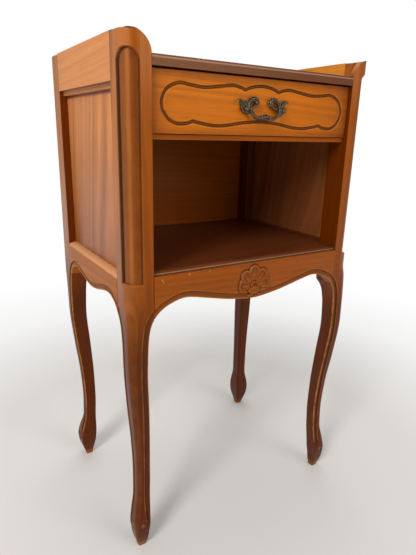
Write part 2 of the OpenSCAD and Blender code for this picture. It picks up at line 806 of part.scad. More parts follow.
// Plan of a board that fills the case between the side panels or rails, notched round the posts
module notched_plan(half, front_y, back_y) {
    difference() {
        translate([-half, front_y]) square([2 * half, back_y - front_y]);
        for (s = [-1, 1]) {
            translate([s > 0 ? post_x : -side_x, yf - 1]) square([front_post_w, front_post_d + 1]);
            translate([s > 0 ? back_post_x : -side_x, back_post_y]) square([back_post, back_post + 1]);
        }
    }
}
module top_board() {
    front = yf + top_setback;
    color(wood_dark) difference() {
        union() {
            translate([0, 0, top_under]) linear_extrude(height = top_t)
                notched_plan(rail_x, front, yb - rail_t);
            for (s = [-1, 1])
                box(s < 0 ? -rail_x - tongue_l : rail_x, s < 0 ? -rail_x : rail_x + tongue_l,
                    tongue_y[0], tongue_y[1], tongue_z, tongue_z + tongue_t);
        }
        translate([0, front, top_z]) difference() {
            box(-side_x, side_x, -1, top_edge_r, -top_edge_r, 1);
            translate([0, top_edge_r, -top_edge_r]) rotate([0, 90, 0])
                cylinder(r = top_edge_r, h = 2 * case_w, center = true);
        }
        kicker_screw_holes();
    }
}
module niche_ceiling() {
    color(wood) {
        translate([0, 0, ceiling_under]) linear_extrude(height = ceiling_t)
            notched_plan(side_x - recess - panel_t - panel_gap, yf + ceiling_setback, yb - panel_back - panel_t);
        for (s = [-1, 1]) {
            box(s < 0 ? -post_x - groove_depth + panel_gap : post_x,
                s < 0 ? -post_x : post_x + groove_depth - panel_gap,
                yf + ceiling_setback + dado_stop + dado_gap, post_y, ceiling_under, ceiling_top);
            box(s < 0 ? -back_post_x - groove_depth + panel_gap : back_post_x,
                s < 0 ? -back_post_x : back_post_x + groove_depth - panel_gap,
                back_post_y, yb - panel_back - panel_t - dado_stop - dado_gap, ceiling_under, ceiling_top);
        }
    }
}
// The floor's nose takes nearly the whole thickness of its lip
nose_r = lip_t - 0.3;
module niche_floor() {
    half = side_x - recess - panel_t - panel_gap;
    front = yf + lip_setback;
    color(wood_dark) difference() {
        translate([0, 0, floor_under]) linear_extrude(height = floor_t)
            notched_plan(half, front, yb - panel_back - panel_t);
        // rebate that leaves the lip over the apron
        box(-side_x, side_x, yf - 1, yf + apron_t, floor_under - 1, apron_top);
        // rounded nose
        translate([0, front, floor_z]) difference() {
            box(-side_x, side_x, -1, nose_r, -nose_r, 1);
            translate([0, nose_r, -nose_r]) rotate([0, 90, 0]) cylinder(r = nose_r, h = 2 * case_w, center = true);
        }
    }
}

strip_front = 10.5;
strip_back = 2;
module floor_strip() {
    x0 = -side_x + recess + panel_t + panel_gap;
    box(x0, x0 + strip_w, post_y + strip_front, back_post_y - strip_back, floor_z, floor_z + strip_h);
}
module left_floor_strip() {
    color(wood_dark) floor_strip();
}
module right_floor_strip() {
    color(wood_dark) right_side() floor_strip();
}

// Guides and kickers of the drawer
drawer_x = post_x - drawer_side_gap;
guide_gap = 0.4;
module drawer_guide() {
    box(-side_x + recess + panel_t + panel_gap, -drawer_x - guide_gap, post_y, back_post_y,
        ceiling_top, ceiling_top + guide_h);
}
module left_drawer_guide() {
    color(wood_inner) drawer_guide();
}
module right_drawer_guide() {
    color(wood_inner) right_side() drawer_guide();
}

drawer_box_low = ceiling_top + run_gap;
drawer_side_top = drawer_box_low + drawer_side_h;
drawer_face = yf + drawer_setback;
drawer_back_face = drawer_face + drawer_front_t;
drawer_end = yb - rail_t - stop_room;
kicker_front = 8;
kicker_back = 6;
kicker_y = [drawer_back_face + kicker_front, yb - rail_t - kicker_back];
kicker_low = drawer_side_top + kicker_gap;
module kicker() {
    difference() {
        box(-drawer_x + side_in, -drawer_x + kicker_w, kicker_y[0], kicker_y[1], kicker_low, top_under);
        kicker_screw_holes();
    }
}
module left_kicker() {
    color(wood_inner) kicker();
}
module right_kicker() {
    color(wood_inner) right_side() kicker();
}

stop_h = 20;
module drawer_stops() {
    color(wood_inner)
        for (s = [-1, 1])
            box(s < 0 ? -drawer_x + side_in : drawer_x - side_in - drawer_side_t,
                s < 0 ? -drawer_x + side_in + drawer_side_t : drawer_x - side_in,
                drawer_end + run_gap, yb - rail_t, ceiling_top, ceiling_top + stop_h);
}

cleat_end = 0.5;
module floor_cleat() {
    difference() {
        box(-rail_x, -rail_x + cleat, post_y + cleat_end, back_post_y - cleat_end,
            floor_under - cleat, floor_under);
        cleat_screw_holes();
    }
}
module left_floor_cleat() {
    color(wood_inner) floor_cleat();
}
module right_floor_cleat() {
    color(wood_inner) right_side() floor_cleat();
}

// Three-cornered blocks glued behind the front apron, under the floor
block = 14;
block_l = 40;
block_step = 100;
module glue_blocks() {
    color(wood_inner)
        for (k = [-1:1])
            along_x(k * block_step - block_l / 2, k * block_step + block_l / 2)
                translate([yf + apron_t, floor_under]) polygon([[0, 0], [0, -block], [block, 0]]);
}

// Screws: countersunk heads, plain shanks in holes of the same size
screw_r = 2;
screw_head_r = 3.8;
screw_head_t = 2.4;
module screw(length) {
    cylinder(r1 = screw_head_r, r2 = screw_r, h = screw_head_t, $fn = 32);
    cylinder(r = screw_r, h = length, $fn = 32);
}
cleat_screw_bite = 9;
cleat_screw_in = 30;
cleat_screw_l = cleat + cleat_screw_bite;
cleat_screw_z = floor_under - cleat / 2;
cleat_screw_y = [post_y + cleat_screw_in, back_post_y - cleat_screw_in];
module cleat_screw_places() {
    for (y = cleat_screw_y)
        translate([-rail_x + cleat, y, cleat_screw_z]) rotate([0, -90, 0]) children();
}
module cleat_screw_holes() {
    cleat_screw_places() screw(cleat_screw_l);
}
module cleat_screws() {
    color(steel) {
        cleat_screw_places() screw(cleat_screw_l);
        right_side() cleat_screw_places() screw(cleat_screw_l);
    }
}
kicker_screw_bite = 8;
kicker_screw_in = 25;
kicker_screw_l = top_under - kicker_low + kicker_screw_bite;
module kicker_screw_places() {
    for (s = [-1, 1])
        for (y = [kicker_y[0] + kicker_screw_in, kicker_y[1] - kicker_screw_in])
            translate([s * (drawer_x - (side_in + kicker_w) / 2), y, kicker_low]) children();
}
module kicker_screw_holes() {
    kicker_screw_places() screw(kicker_screw_l);
}
module kicker_screws() {
    color(steel) kicker_screw_places() screw(kicker_screw_l);
}

// Control points of half the cartouche, as [share of the half width, share of the half height]
cartouche_half = [
    [0, 1], [0.087, 0.95], [0.188, 0.778], [0.323, 0.931], [0.471, 0.824], [0.605, 0.739],
    [0.74, 0.797], [0.834, 0.854], [0.915, 0.72], [0.968, 0.49], [1, 0.107], [0.999, -0.237],
    [0.975, -0.506], [0.935, -0.755], [0.868, -0.916], [0.78, -0.908], [0.713, -0.801],
    [0.639, -0.87], [0.504, -0.965], [0.37, -0.927], [0.202, -0.782], [0, -0.697]
];
drawer_mid_z = drawer_low + drawer_h / 2;
cartouche_ends = drawer_x - cartouche_margin;
cartouche_loop = loop_curve(concat(
    [for (p = cartouche_half) [p[0] * cartouche_ends, drawer_mid_z + p[1] * cartouche_half_h]],
    [for (i = [len(cartouche_half) - 2:-1:1])
        [-cartouche_half[i][0] * cartouche_ends, drawer_mid_z + cartouche_half[i][1] * cartouche_half_h]]
), 3);

// Half-blind dovetails: tails of a drawer side, seen from the side, as outlines in y and z
tail_lap = 5;
tail_l = drawer_front_t - tail_lap;
tail_pitch = drawer_side_h / 3;
tail_root = 1;
side_in = 0.4;
module tails() {
    for (k = [0:2])
        translate([drawer_back_face, drawer_box_low + (k + 0.5) * tail_pitch]) polygon([
            [tail_root, -0.24 * tail_pitch], [0, -0.24 * tail_pitch], [-tail_l, -0.38 * tail_pitch],
            [-tail_l, 0.38 * tail_pitch], [0, 0.24 * tail_pitch], [tail_root, 0.24 * tail_pitch]
        ]);
}
bottom_up = 6;
bottom_groove_z = drawer_box_low + bottom_up;
bottom_in = 4.5;
bottom_gap = 0.2;

module bottom_groove_cut() {
    box(-drawer_x + drawer_side_t - bottom_in, drawer_x - drawer_side_t + bottom_in,
        drawer_back_face - bottom_in - bottom_gap, drawer_end + 1,
        bottom_groove_z, bottom_groove_z + drawer_bottom_t);
}
handle_z = drawer_mid_z + handle_up;
pin_y = drawer_face - pin_out;
arm_x = bail_w / 2;
lug_x = arm_x + bail_r + lug_r + 0.5;

module drawer_front() {
    color(wood) difference() {
        box(-drawer_x, drawer_x, drawer_face, drawer_back_face, drawer_low, drawer_top);
        along_y(drawer_face - 1, drawer_face + cartouche_depth) difference() {
            polygon(beside(cartouche_loop, cartouche_line_w / 2, true));
            polygon(beside(cartouche_loop, -cartouche_line_w / 2, true));
        }
        for (s = [-1, 1])
            along_x(s < 0 ? -drawer_x - 1 : drawer_x - side_in - drawer_side_t,
                s < 0 ? -drawer_x + side_in + drawer_side_t : drawer_x + 1)
                tails();
        bottom_groove_cut();
        for (s = [-1, 1])
            translate([s * lug_x, drawer_face - 1, handle_z]) rotate([-90, 0, 0])
                cylinder(r = stud_r, h = drawer_front_t + 2);
    }
}
module drawer_side() {
    x0 = -drawer_x + side_in;
    difference() {
        union() {
            box(x0, x0 + drawer_side_t, drawer_back_face, drawer_end, drawer_box_low, drawer_side_top);
            along_x(x0, x0 + drawer_side_t) tails();
        }
        bottom_groove_cut();
    }
}
module drawer_left_side() {
    color(wood_inner) drawer_side();
}
module drawer_right_side() {
    color(wood_inner) right_side() drawer_side();
}
drawer_back_t = 9;
drawer_back_drop = 6;
module drawer_back() {
    half = drawer_x - side_in - drawer_side_t;
    color(wood_inner)
        box(-half, half, drawer_end - drawer_back_t, drawer_end,
            bottom_groove_z + drawer_bottom_t, drawer_side_top - drawer_back_drop);
}
module drawer_bottom() {
    half = drawer_x - side_in - drawer_side_t + bottom_in - 2 * bottom_gap;
    color(wood_inner)
        box(-half, half, drawer_back_face - bottom_in, drawer_end, bottom_groove_z,
            bottom_groove_z + drawer_bottom_t);
}

// Handle: a leaf with a lug and a scroll on each side, and a bail that hangs between the lugs
leaf_half = [
    [3.4, 6.2], [-2.4, 7.5], [-7.4, 8.6], [-12.2, 9.4], [-13.4, 7.2], [-9.3, 6.4], [-5.8, 3.2],
    [-3.6, -1.6], [0.6, -4.9], [4.6, -6.1], [9.2, -6], [12.6, -1.4], [10.4, 3.6]
];
crook_r = 6.6;
crook_tube = 2.3;
crook_x = 7.9;
crook_up = 8.9;
crook_sunk = 1.4;
crook_end = -70;
crook_ball_r = 2.6;
rib_sunk = 1.2;
rib_l = 12;
rib_r = [3, 1.9];
rib_up = 2;
module rosette() {
    difference() {
        union() {
            // back plate
            along_y(drawer_face - rosette_t, drawer_face) translate([-lug_x, handle_z])
                polygon(loop_curve(leaf_half, 3));
            // crook over the lug, with a ball at its free end
            translate([crook_x - arm_x, drawer_face - crook_sunk, handle_z + crook_up]) rotate([90, 0, 0])
                rotate([0, 0, crook_end]) {
                    rotate_extrude(angle = 300) translate([crook_r, 0]) circle(crook_tube);
                    translate([crook_r, 0, 0]) sphere(crook_ball_r);
                }
            // ribs of the leaf
            for (a = [-66, -44])
                translate([-lug_x, drawer_face - rib_sunk, handle_z + rib_up]) rotate([0, a, 0]) {
                    cylinder(r1 = rib_r[0], r2 = rib_r[1], h = rib_l);
                    translate([0, 0, rib_l]) sphere(rib_r[1]);
                }
            // lug
            translate([-lug_x, drawer_face, handle_z]) rotate([90, 0, 0]) {
                cylinder(r = lug_r, h = pin_out);
                translate([0, 0, pin_out]) sphere(lug_r);
            }
        }
        box(-side_x, side_x, drawer_face, drawer_face + 20, 0, case_h);
        translate([-lug_x - 1.2, pin_y, handle_z]) rotate([0, 90, 0]) cylinder(r = pin_r + pin_gap, h = 20);
    }
    translate([-lug_x, drawer_face - 1, handle_z]) rotate([-90, 0, 0])
        cylinder(r = stud_r, h = drawer_front_t + 1 + nut_t + 2);
}
module left_rosette() {
    color(bronze) rosette();
}
module right_rosette() {
    color(bronze) right_side() rosette();
}
nut_t = 3.2;
nut_r = 4;
module handle_nuts() {
    color(steel)
        for (s = [-1, 1])
            translate([s * lug_x, drawer_back_face, handle_z]) rotate([-90, 0, 0]) difference() {
                cylinder(r = nut_r, h = nut_t, $fn = 6);
                translate([0, 0, -1]) cylinder(r = stud_r, h = nut_t + 2);
            }
}
bail_drop = bail_arm + bail_bend_r;
bow_half = arm_x - bail_bend_r;
bow_angle = 2 * atan(bail_rise / bow_half);
bow_r = bow_half / sin(bow_angle) - bail_bend_r;
bead_r = 1.1;
bead_x = 6.2;
collar_half = 4.6;
pin_end = 0.8;
module bail_half() {
    // pin, arm and corner
    translate([-lug_x - pin_end, 0, 0]) rotate([0, 90, 0]) cylinder(r = pin_r, h = lug_x + pin_end - arm_x);
    translate([-arm_x, 0, 0]) sphere(bail_r);
    translate([-arm_x, 0, -bail_arm]) cylinder(r = bail_r, h = bail_arm);
    translate([-bow_half, 0, -bail_arm]) rotate([90, 0, 0])
        rotate([0, 0, 180]) rotate_extrude(angle = 90 + bow_angle) translate([bail_bend_r, 0]) circle(bail_r);
    // half the bar, bowed up towards the collar, with a bead
    translate([0, 0, bail_rise - bail_drop - bow_r]) {
        rotate([90, 0, 0]) rotate([0, 0, 90]) rotate_extrude(angle = bow_angle)
            translate([bow_r, 0]) circle(bail_r);
        rotate([0, -asin(bead_x / bow_r), 0]) translate([0, 0, bow_r]) rotate([0, 90, 0])
            rotate_extrude() translate([bail_r, 0]) circle(bead_r);
    }
}
module handle_bail() {
    color(bronze) translate([0, pin_y, handle_z]) {
        bail_half();
        right_side() bail_half();
        translate([0, 0, bail_rise - bail_drop]) rotate([0, 90, 0]) rotate_extrude()
            polygon([
                [0, -collar_half], [0.8 * collar_r, -0.92 * collar_half], [collar_r, 0],
                [0.8 * collar_r, 0.92 * collar_half], [0, collar_half]
            ]);
    }
}

front_left_leg();
front_right_leg();
back_left_leg();
back_right_leg();
left_top_rail();
right_top_rail();
left_side_panel();
right_side_panel();
left_apron();
right_apron();
front_apron();
back_top_rail();
back_bottom_rail();
back_panel();
top_board();
niche_ceiling();
niche_floor();
left_floor_strip();
right_floor_strip();
left_drawer_guide();
right_drawer_guide();
left_kicker();
right_kicker();
drawer_stops();
left_floor_cleat();
right_floor_cleat();
glue_blocks();
cleat_screws();
kicker_screws();
panel_pins();
drawer_front();
drawer_left_side();
drawer_right_side();
drawer_back();
drawer_bottom();
left_rosette();
right_rosette();
handle_nuts();
handle_bail();
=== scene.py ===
"""Looks of a bedside chest on cabriole legs: carved legs, aprons and drawer front, cast handle, varnished wood."""

import math

import bmesh
import bpy
import numpy as np
from mathutils import Matrix, Vector


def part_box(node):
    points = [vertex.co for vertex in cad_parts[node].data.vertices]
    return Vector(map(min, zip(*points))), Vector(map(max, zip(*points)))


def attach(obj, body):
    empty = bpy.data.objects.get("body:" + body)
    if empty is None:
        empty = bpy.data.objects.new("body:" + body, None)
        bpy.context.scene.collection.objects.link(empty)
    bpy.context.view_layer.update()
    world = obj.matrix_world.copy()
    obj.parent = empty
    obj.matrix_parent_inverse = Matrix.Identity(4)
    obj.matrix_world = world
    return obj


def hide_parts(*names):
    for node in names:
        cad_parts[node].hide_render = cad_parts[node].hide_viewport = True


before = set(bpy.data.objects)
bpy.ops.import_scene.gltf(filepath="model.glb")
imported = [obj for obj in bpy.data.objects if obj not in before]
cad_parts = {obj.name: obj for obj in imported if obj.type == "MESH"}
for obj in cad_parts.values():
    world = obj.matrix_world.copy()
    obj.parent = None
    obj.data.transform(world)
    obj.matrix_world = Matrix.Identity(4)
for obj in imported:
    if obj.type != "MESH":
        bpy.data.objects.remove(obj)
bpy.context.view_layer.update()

bl_info = {
    "name": "Bedside chest",
    "version": (1, 0, 0),
    "blender": (4, 5, 0),
    "location": "View3D > Sidebar > Chest",
    "description": "Dresses the packed frame of a bedside chest with carved pieces, wood and bronze",
    "category": "Add Mesh",
}

MM = 0.001
# Points nearer than this are one point, in metres
WELD = 0.00001


def box_mm(node):
    """Lowest and highest corner of a node of the frame, in millimetres."""
    low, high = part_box(node)
    return low / MM, high / MM


# Places that the frame gives, in millimetres
FRONT_LEG = box_mm("front_left_leg")
BACK_LEG = box_mm("back_left_leg")
FRONT_APRON = box_mm("front_apron")
DRAWER_FRONT = box_mm("drawer_front")
SIDE_X = -FRONT_LEG[0].x
FRONT_Y = FRONT_LEG[0].y
BACK_Y = BACK_LEG[1].y
TOP_Z = FRONT_LEG[1].z
POST_W = FRONT_LEG[1].x - FRONT_LEG[0].x
POST_D = FRONT_LEG[1].y - FRONT_LEG[0].y
BACK_POST = BACK_LEG[1].x - BACK_LEG[0].x
BOARD_Z = box_mm("top_board")[1].z
SIDE_LEN = BACK_Y - BACK_POST - FRONT_Y - POST_D
SIDE_MID = FRONT_Y + POST_D + SIDE_LEN / 2
APRON_TOP = FRONT_APRON[1].z
# Sizes in millimetres: rail's thickness, aprons at their middle, arch's ends under it, and the knee over the leg
RAIL_T = 17.4
APRON_H = 55.0
SIDE_APRON_H = 49.5
ARCH_END = 3.3
KNEE_H = 29.0
APRON_LOW = APRON_TOP - APRON_H
SIDE_LOW = APRON_TOP - SIDE_APRON_H
LEG_TOP = APRON_LOW - ARCH_END
KNEE_TOP = LEG_TOP + KNEE_H


# ---------------------------------------------------------------- settings


def length(name, description, value):
    """A length in metres, as a user would change it."""
    return bpy.props.FloatProperty(
        name=name, description=description, default=value, min=0.0, unit="LENGTH", subtype="DISTANCE"
    )


def colour(name, description, value):
    """A linear colour with no alpha."""
    return bpy.props.FloatVectorProperty(
        name=name, description=description, default=value, min=0.0, max=1.0, size=3, subtype="COLOR"
    )


def share(name, description, value):
    """A number from 0 to 1."""
    return bpy.props.FloatProperty(
        name=name, description=description, default=value, min=0.0, max=1.0, subtype="FACTOR"
    )


class ChestCarving(bpy.types.PropertyGroup):
    bead_w: length("Band place", "Distance of the hollow band's middle from the edge of legs and aprons", 0.0056)
    line_w: length("Band width", "Width of the hollow band", 0.0056)
    line_depth: length("Band depth", "Depth of the hollow band", 0.0016)
    panel_sink: length("Corner panel depth", "How deep the arched corner panels are sunk", 0.0038)
    cartouche_w: length("Cartouche line", "Width of the cartouche line on the drawer", 0.0044)
    cartouche_depth: length("Cartouche depth", "Depth of the cartouche line", 0.0018)
    scroll_r: length("Scroll radius", "Radius of the scrolls on the feet", 0.0092)


class ChestFinish(bpy.types.PropertyGroup):
    honey: colour("Honey wood", "Varnished wood of the drawer front", (0.52, 0.138, 0.003))
    amber: colour("Amber wood", "Varnished wood of legs, posts and front apron", (0.31, 0.072, 0.002))
    # Painted light: a lighter copy of the wood for the left apron, which faces the key light; the right apron keeps the
    # amber wood.
    sand: colour("Sandy wood", "Varnished wood of the side aprons", (0.38, 0.115, 0.011))
    # Painted light: a lighter copy of the wood for the left rail and left panel, which face the key light.
    lit_peach: colour("Pale wood", "Left rail, bleached by the light", (0.74, 0.30, 0.10))
    gold: colour("Golden wood", "Inside of the right rail", (0.86, 0.30, 0.04))
    # Pinkish tone of the key light's sheen on the wood: painted on the side faces of legs and posts, and also the right
    # side panel's wood.
    rose: colour("Faded wood", "Varnished wood of the sides", (0.44, 0.16, 0.052))
    brown: colour("Dark wood", "Top board and niche floor", (0.13, 0.034, 0.010))
    bare: colour("Bare wood", "Inner wood without varnish", (0.42, 0.26, 0.13))
    # Also paints the shadow in the corners of the grooves and along the sunk panels' walls.
    line: colour("Carved lines", "Dark varnish and dust in the carving", (0.045, 0.014, 0.007))
    bronze: colour("Bronze", "Aged bronze of the handle", (0.050, 0.037, 0.024))
    gloss: share("Varnish roughness", "Roughness of the varnish", 0.33)


class ChestStage(bpy.types.PropertyGroup):
    azimuth: bpy.props.FloatProperty(
        name="Azimuth", description="Camera's direction, from the front to the left",
        default=math.radians(-32.29), subtype="ANGLE", unit="ROTATION",
    )
    elevation: bpy.props.FloatProperty(
        name="Elevation", description="How far the camera looks down",
        default=math.radians(-17.14), subtype="ANGLE", unit="ROTATION",
    )
    roll: bpy.props.FloatProperty(
        name="Roll", description="Tilt of the camera",
        default=math.radians(1.467), subtype="ANGLE", unit="ROTATION",
    )
    place: bpy.props.FloatVectorProperty(
        name="Camera place", description="Where the camera stands",
        default=(-0.4114, -0.6586, 0.6150), size=3, unit="LENGTH", subtype="XYZ",
    )
    lens: bpy.props.FloatProperty(
        name="Lens", description="Focal length in millimetres on a 36 mm wide sensor", default=40.41, min=1.0
    )


# ---------------------------------------------------------------- shaders


class Value:
    """A socket in a material, so that shader maths reads like arithmetic."""

    def __init__(self, graph, socket):
        self.graph = graph
        self.socket = socket

    def of(self, output):
        """Another output of the same node."""
        return Value(self.graph, self.socket.node.outputs[output])

    def __add__(self, other):
        return self.graph.maths("ADD", self, other)

    __radd__ = __add__

    def __mul__(self, other):
        return self.graph.maths("MULTIPLY", self, other)

    __rmul__ = __mul__

    def __sub__(self, other):
        return self.graph.maths("SUBTRACT", self, other)

    def __rsub__(self, other):
        return self.graph.maths("SUBTRACT", other, self)

    def __truediv__(self, other):
        return self.graph.maths("DIVIDE", self, other)

    def __rtruediv__(self, other):
        return self.graph.maths("DIVIDE", other, self)

    def __pow__(self, other):
        return self.graph.maths("POWER", self, other)

    def __rpow__(self, other):
        return self.graph.maths("POWER", other, self)


class Graph:
    """The nodes of one material or world."""

    def __init__(self, owner):
        owner.use_nodes = True
        self.owner = owner
        self.tree = owner.node_tree
        self.shader = self.tree.nodes.get("Principled BSDF")

    def link(self, socket, value):
        """Links a value to a socket, or sets the socket to a constant."""
        if isinstance(value, Value):
            self.tree.links.new(value.socket, socket)
        elif hasattr(socket, "default_value"):
            if socket.type == "RGBA" and len(value) == 3:
                value = (*value, 1.0)
            socket.default_value = value

    def node(self, kind, settings=None, inputs=None):
        """Adds a node: its settings first, then the values or links of its sockets."""
        made = self.tree.nodes.new(kind)
        for key, value in (settings or {}).items():
            if key == "stops":
                self.stops(made.color_ramp, value)
            else:
                setattr(made, key, value)
        for key, value in (inputs or {}).items():
            self.link(made.inputs[key], value)
        return Value(self, made.outputs[0])

    @staticmethod
    def stops(ramp, stops):
        """Sets a grey ramp to stops of (place, tone)."""
        while len(ramp.elements) < len(stops):
            ramp.elements.new(1.0)
        for element, (place, tone) in zip(ramp.elements, stops):
            element.position = place
            element.color = (tone, tone, tone, 1.0)

    def maths(self, operation, a, b):
        """One maths node."""
        return self.node("ShaderNodeMath", {"operation": operation}, {0: a, 1: b})

    def ramp(self, value, stops):
        """A value drawn through a grey ramp of (place, tone)."""
        return self.node("ShaderNodeValToRGB", {"stops": stops}, {"Fac": value})

    def mix(self, factor, a, b, blend="MIX"):
        """Mixes two colours."""
        made = self.node(
            "ShaderNodeMix", {"data_type": "RGBA", "blend_type": blend}, {0: factor, 6: a, 7: b}
        )
        return made.of(2)

    def stretched(self, scale, offset):
        """Object coordinates, stretched and shifted."""
        place = self.node("ShaderNodeTexCoord").of("Object")
        return self.node(
            "ShaderNodeMapping", {"vector_type": "POINT"}, {"Vector": place, "Scale": scale, "Location": offset}
        )

    def noise(self, scale, offset, detail, rough):
        """Noise over stretched object coordinates."""
        return self.node(
            "ShaderNodeTexNoise", {"noise_dimensions": "3D"},
            {"Vector": self.stretched(tuple(scale), tuple(offset)), "Scale": 1.0, "Detail": detail, "Roughness": rough},
        )

    def mark(self, name):
        """A number that a mesh holds at each of its points."""
        return self.node("ShaderNodeAttribute", {"attribute_name": name}).of("Fac")

    def set(self, values):
        """Sets sockets of the shader by their names."""
        for key, value in values.items():
            self.link(self.shader.inputs[key], value)

    def surface(self, value):
        """Links what the material or world shows to its output."""
        output = next(node for node in self.tree.nodes if node.bl_idname.startswith("ShaderNodeOutput"))
        self.link(output.inputs["Surface"], value)

    def bump(self, height, distance, strength):
        """A normal from a height."""
        return self.node(
            "ShaderNodeBump", None, {"Height": height, "Distance": distance, "Strength": strength}
        )


def toned(colour_value, factor):
    """A colour made lighter or darker."""
    return tuple(min(1.0, part * factor) for part in colour_value)


AXES = {"X": 0, "Y": 1, "Z": 2}
# How a piece is cut from the tree: strength of its figure, tilt of its grain, and width of a growth ring in metres
CUTS = {
    "leg": (0.7, 0.02, 0.006), "apron": (0.7, 0.03, 0.007), "drawer": (0.8, 0.04, 0.009),
    "panel": (1.1, 0.16, 0.012), "board": (0.7, 0.05, 0.007),
}
# Small places where the varnish is chipped: x, y, z and radius in millimetres
CHIPS = {
    "top_board": ((-103, -139, 697, 2.4), (-96, -139, 697, 1.6), (-80, -139, 695, 1.5), (-125, -139, 689, 1.5)),
    "front_left_leg": ((-199.6, -118, 640, 1.8), (-199.6, -117, 627, 1.5), (-199.6, -119, 600, 1.6)),
    "front_apron": (
        (-152, -140.9, 430, 2.0), (-150.5, -140.9, 427, 1.5), (-112, -140.9, 433, 1.6), (-80, -140.9, 433, 1.2)
    ),
    "left_apron": ((-200, 37, 428, 2.6), (-200, 41, 426, 1.6), (-200, -70, 429, 1.8)),
    "niche_ceiling": ((-5, -133, 608, 2.6), (-4, -133, 605, 2.0)),
}
# Stretch of the noises, in waves per metre: along the grain, and across it
FIBRE = (9.0, 260.0)
PORE = (38.0, 900.0)
WARP = (2.2, 9.0)
CLOUD = 7.0
PATCH = 55.0
# Tint that darkens the wood under the darkening mark: real glazing on the drawer front and shell, painted shade on
# legs, inner sides, sunk panels and by height.
GLAZE_AND_SHADE_TINT = (0.30, 0.20, 0.15)
WARM_SHINE = (1.0, 0.74, 0.46)
RAW_ROUGH = 0.62
RAW_SHINE = 0.15


def stretch(along, pair):
    """Scale of a noise whose first number holds along the grain."""
    scale = [pair[1]] * 3
    scale[along] = pair[0]
    return scale


def growth_rings(graph, place, along, shift, seed, tilt, ring):
    """Growth rings from 0 to 1 round a heart that lies beside the piece, bent a little along the grain."""
    warp = graph.noise(stretch(along, WARP), shift, 2.0, 0.5)
    parts = graph.node("ShaderNodeSeparateXYZ", None, {0: place})
    run = parts.of("XYZ"[along])
    side, depth = [parts.of("XYZ"[k]) for k in range(3) if k != along]
    offset = np.random.default_rng(seed + 1).uniform(-1.0, 1.0, 2)
    lean = side + offset[0] * 0.03 + (warp - 0.5) * 0.055
    sunk = depth + run * tilt + 0.035 + offset[1] * 0.012 + (warp - 0.5) * 0.02
    radius = (lean * lean + sunk * sunk) ** 0.5
    rings = graph.node(
        "ShaderNodeTexNoise", {"noise_dimensions": "1D"},
        {"W": radius / ring + float(shift[0]), "Scale": 1.0, "Detail": 2.5, "Roughness": 0.6},
    )
    return graph.ramp(rings, [(0.30, 0.0), (0.52, 0.55), (0.70, 1.0)])


def clean_tone(graph, base, figure, rings, fibre, pores, cloud):
    """Colour of clean wood: rings, fibres, clouds and pores over its base colour."""
    light = toned(base, 1.0 + 0.34 * figure)
    dark = tuple(part * factor for part, factor in zip(base, (0.70, 0.60, 0.55)))
    strength = 0.62 * figure
    tone = graph.mix(rings * strength + (1 - strength) * 0.55, dark, light)
    tone = graph.mix((fibre - 0.35) * 0.55, tone, toned(base, 0.62))
    tone = graph.mix((cloud - 0.42) * 0.8, tone, toned(base, 1.35))
    return graph.mix(pores * 0.30, tone, toned(base, 0.35))


def height_share(graph, place, low, high):
    """Height of a point between two heights in millimetres, as a share."""
    height = graph.node("ShaderNodeSeparateXYZ", None, {0: place}).of("Z")
    return (height / MM - low) / (high - low)


def rubbed_places(graph, place, patches, worn, chips):
    """Where the wood is painted pale: varnish rubbed through on sharp edges and on chips, and marked places that are
    worn or hold a painted highlight.
    """
    normal = graph.node("ShaderNodeNewGeometry").of("Normal")
    soft = graph.node("ShaderNodeBevel", {"samples": 4}, {"Radius": 0.0022})
    turn = graph.node("ShaderNodeVectorMath", {"operation": "DOT_PRODUCT"}, {0: soft, 1: normal}).of("Value")
    edges = graph.ramp(1 - turn, [(0.04, 0.0), (0.22, 1.0)]) * graph.ramp(patches, [(0.47, 0.0), (0.62, 1.0)])
    wear = graph.mark("wear") * graph.ramp(patches, [(0.36, 0.25), (0.60, 1.0)])
    rubbed = graph.maths("MAXIMUM", edges * worn, wear)
    for x, y, z, size in chips:
        spot = (x * MM, y * MM, z * MM)
        away = graph.node("ShaderNodeVectorMath", {"operation": "DISTANCE"}, {0: place, 1: spot}).of("Value")
        away = away / (size * MM) + (patches - 0.5) * 1.6
        rubbed = graph.maths("MAXIMUM", rubbed, graph.ramp(away, [(0.6, 1.0), (1.0, 0.0)]))
    return rubbed


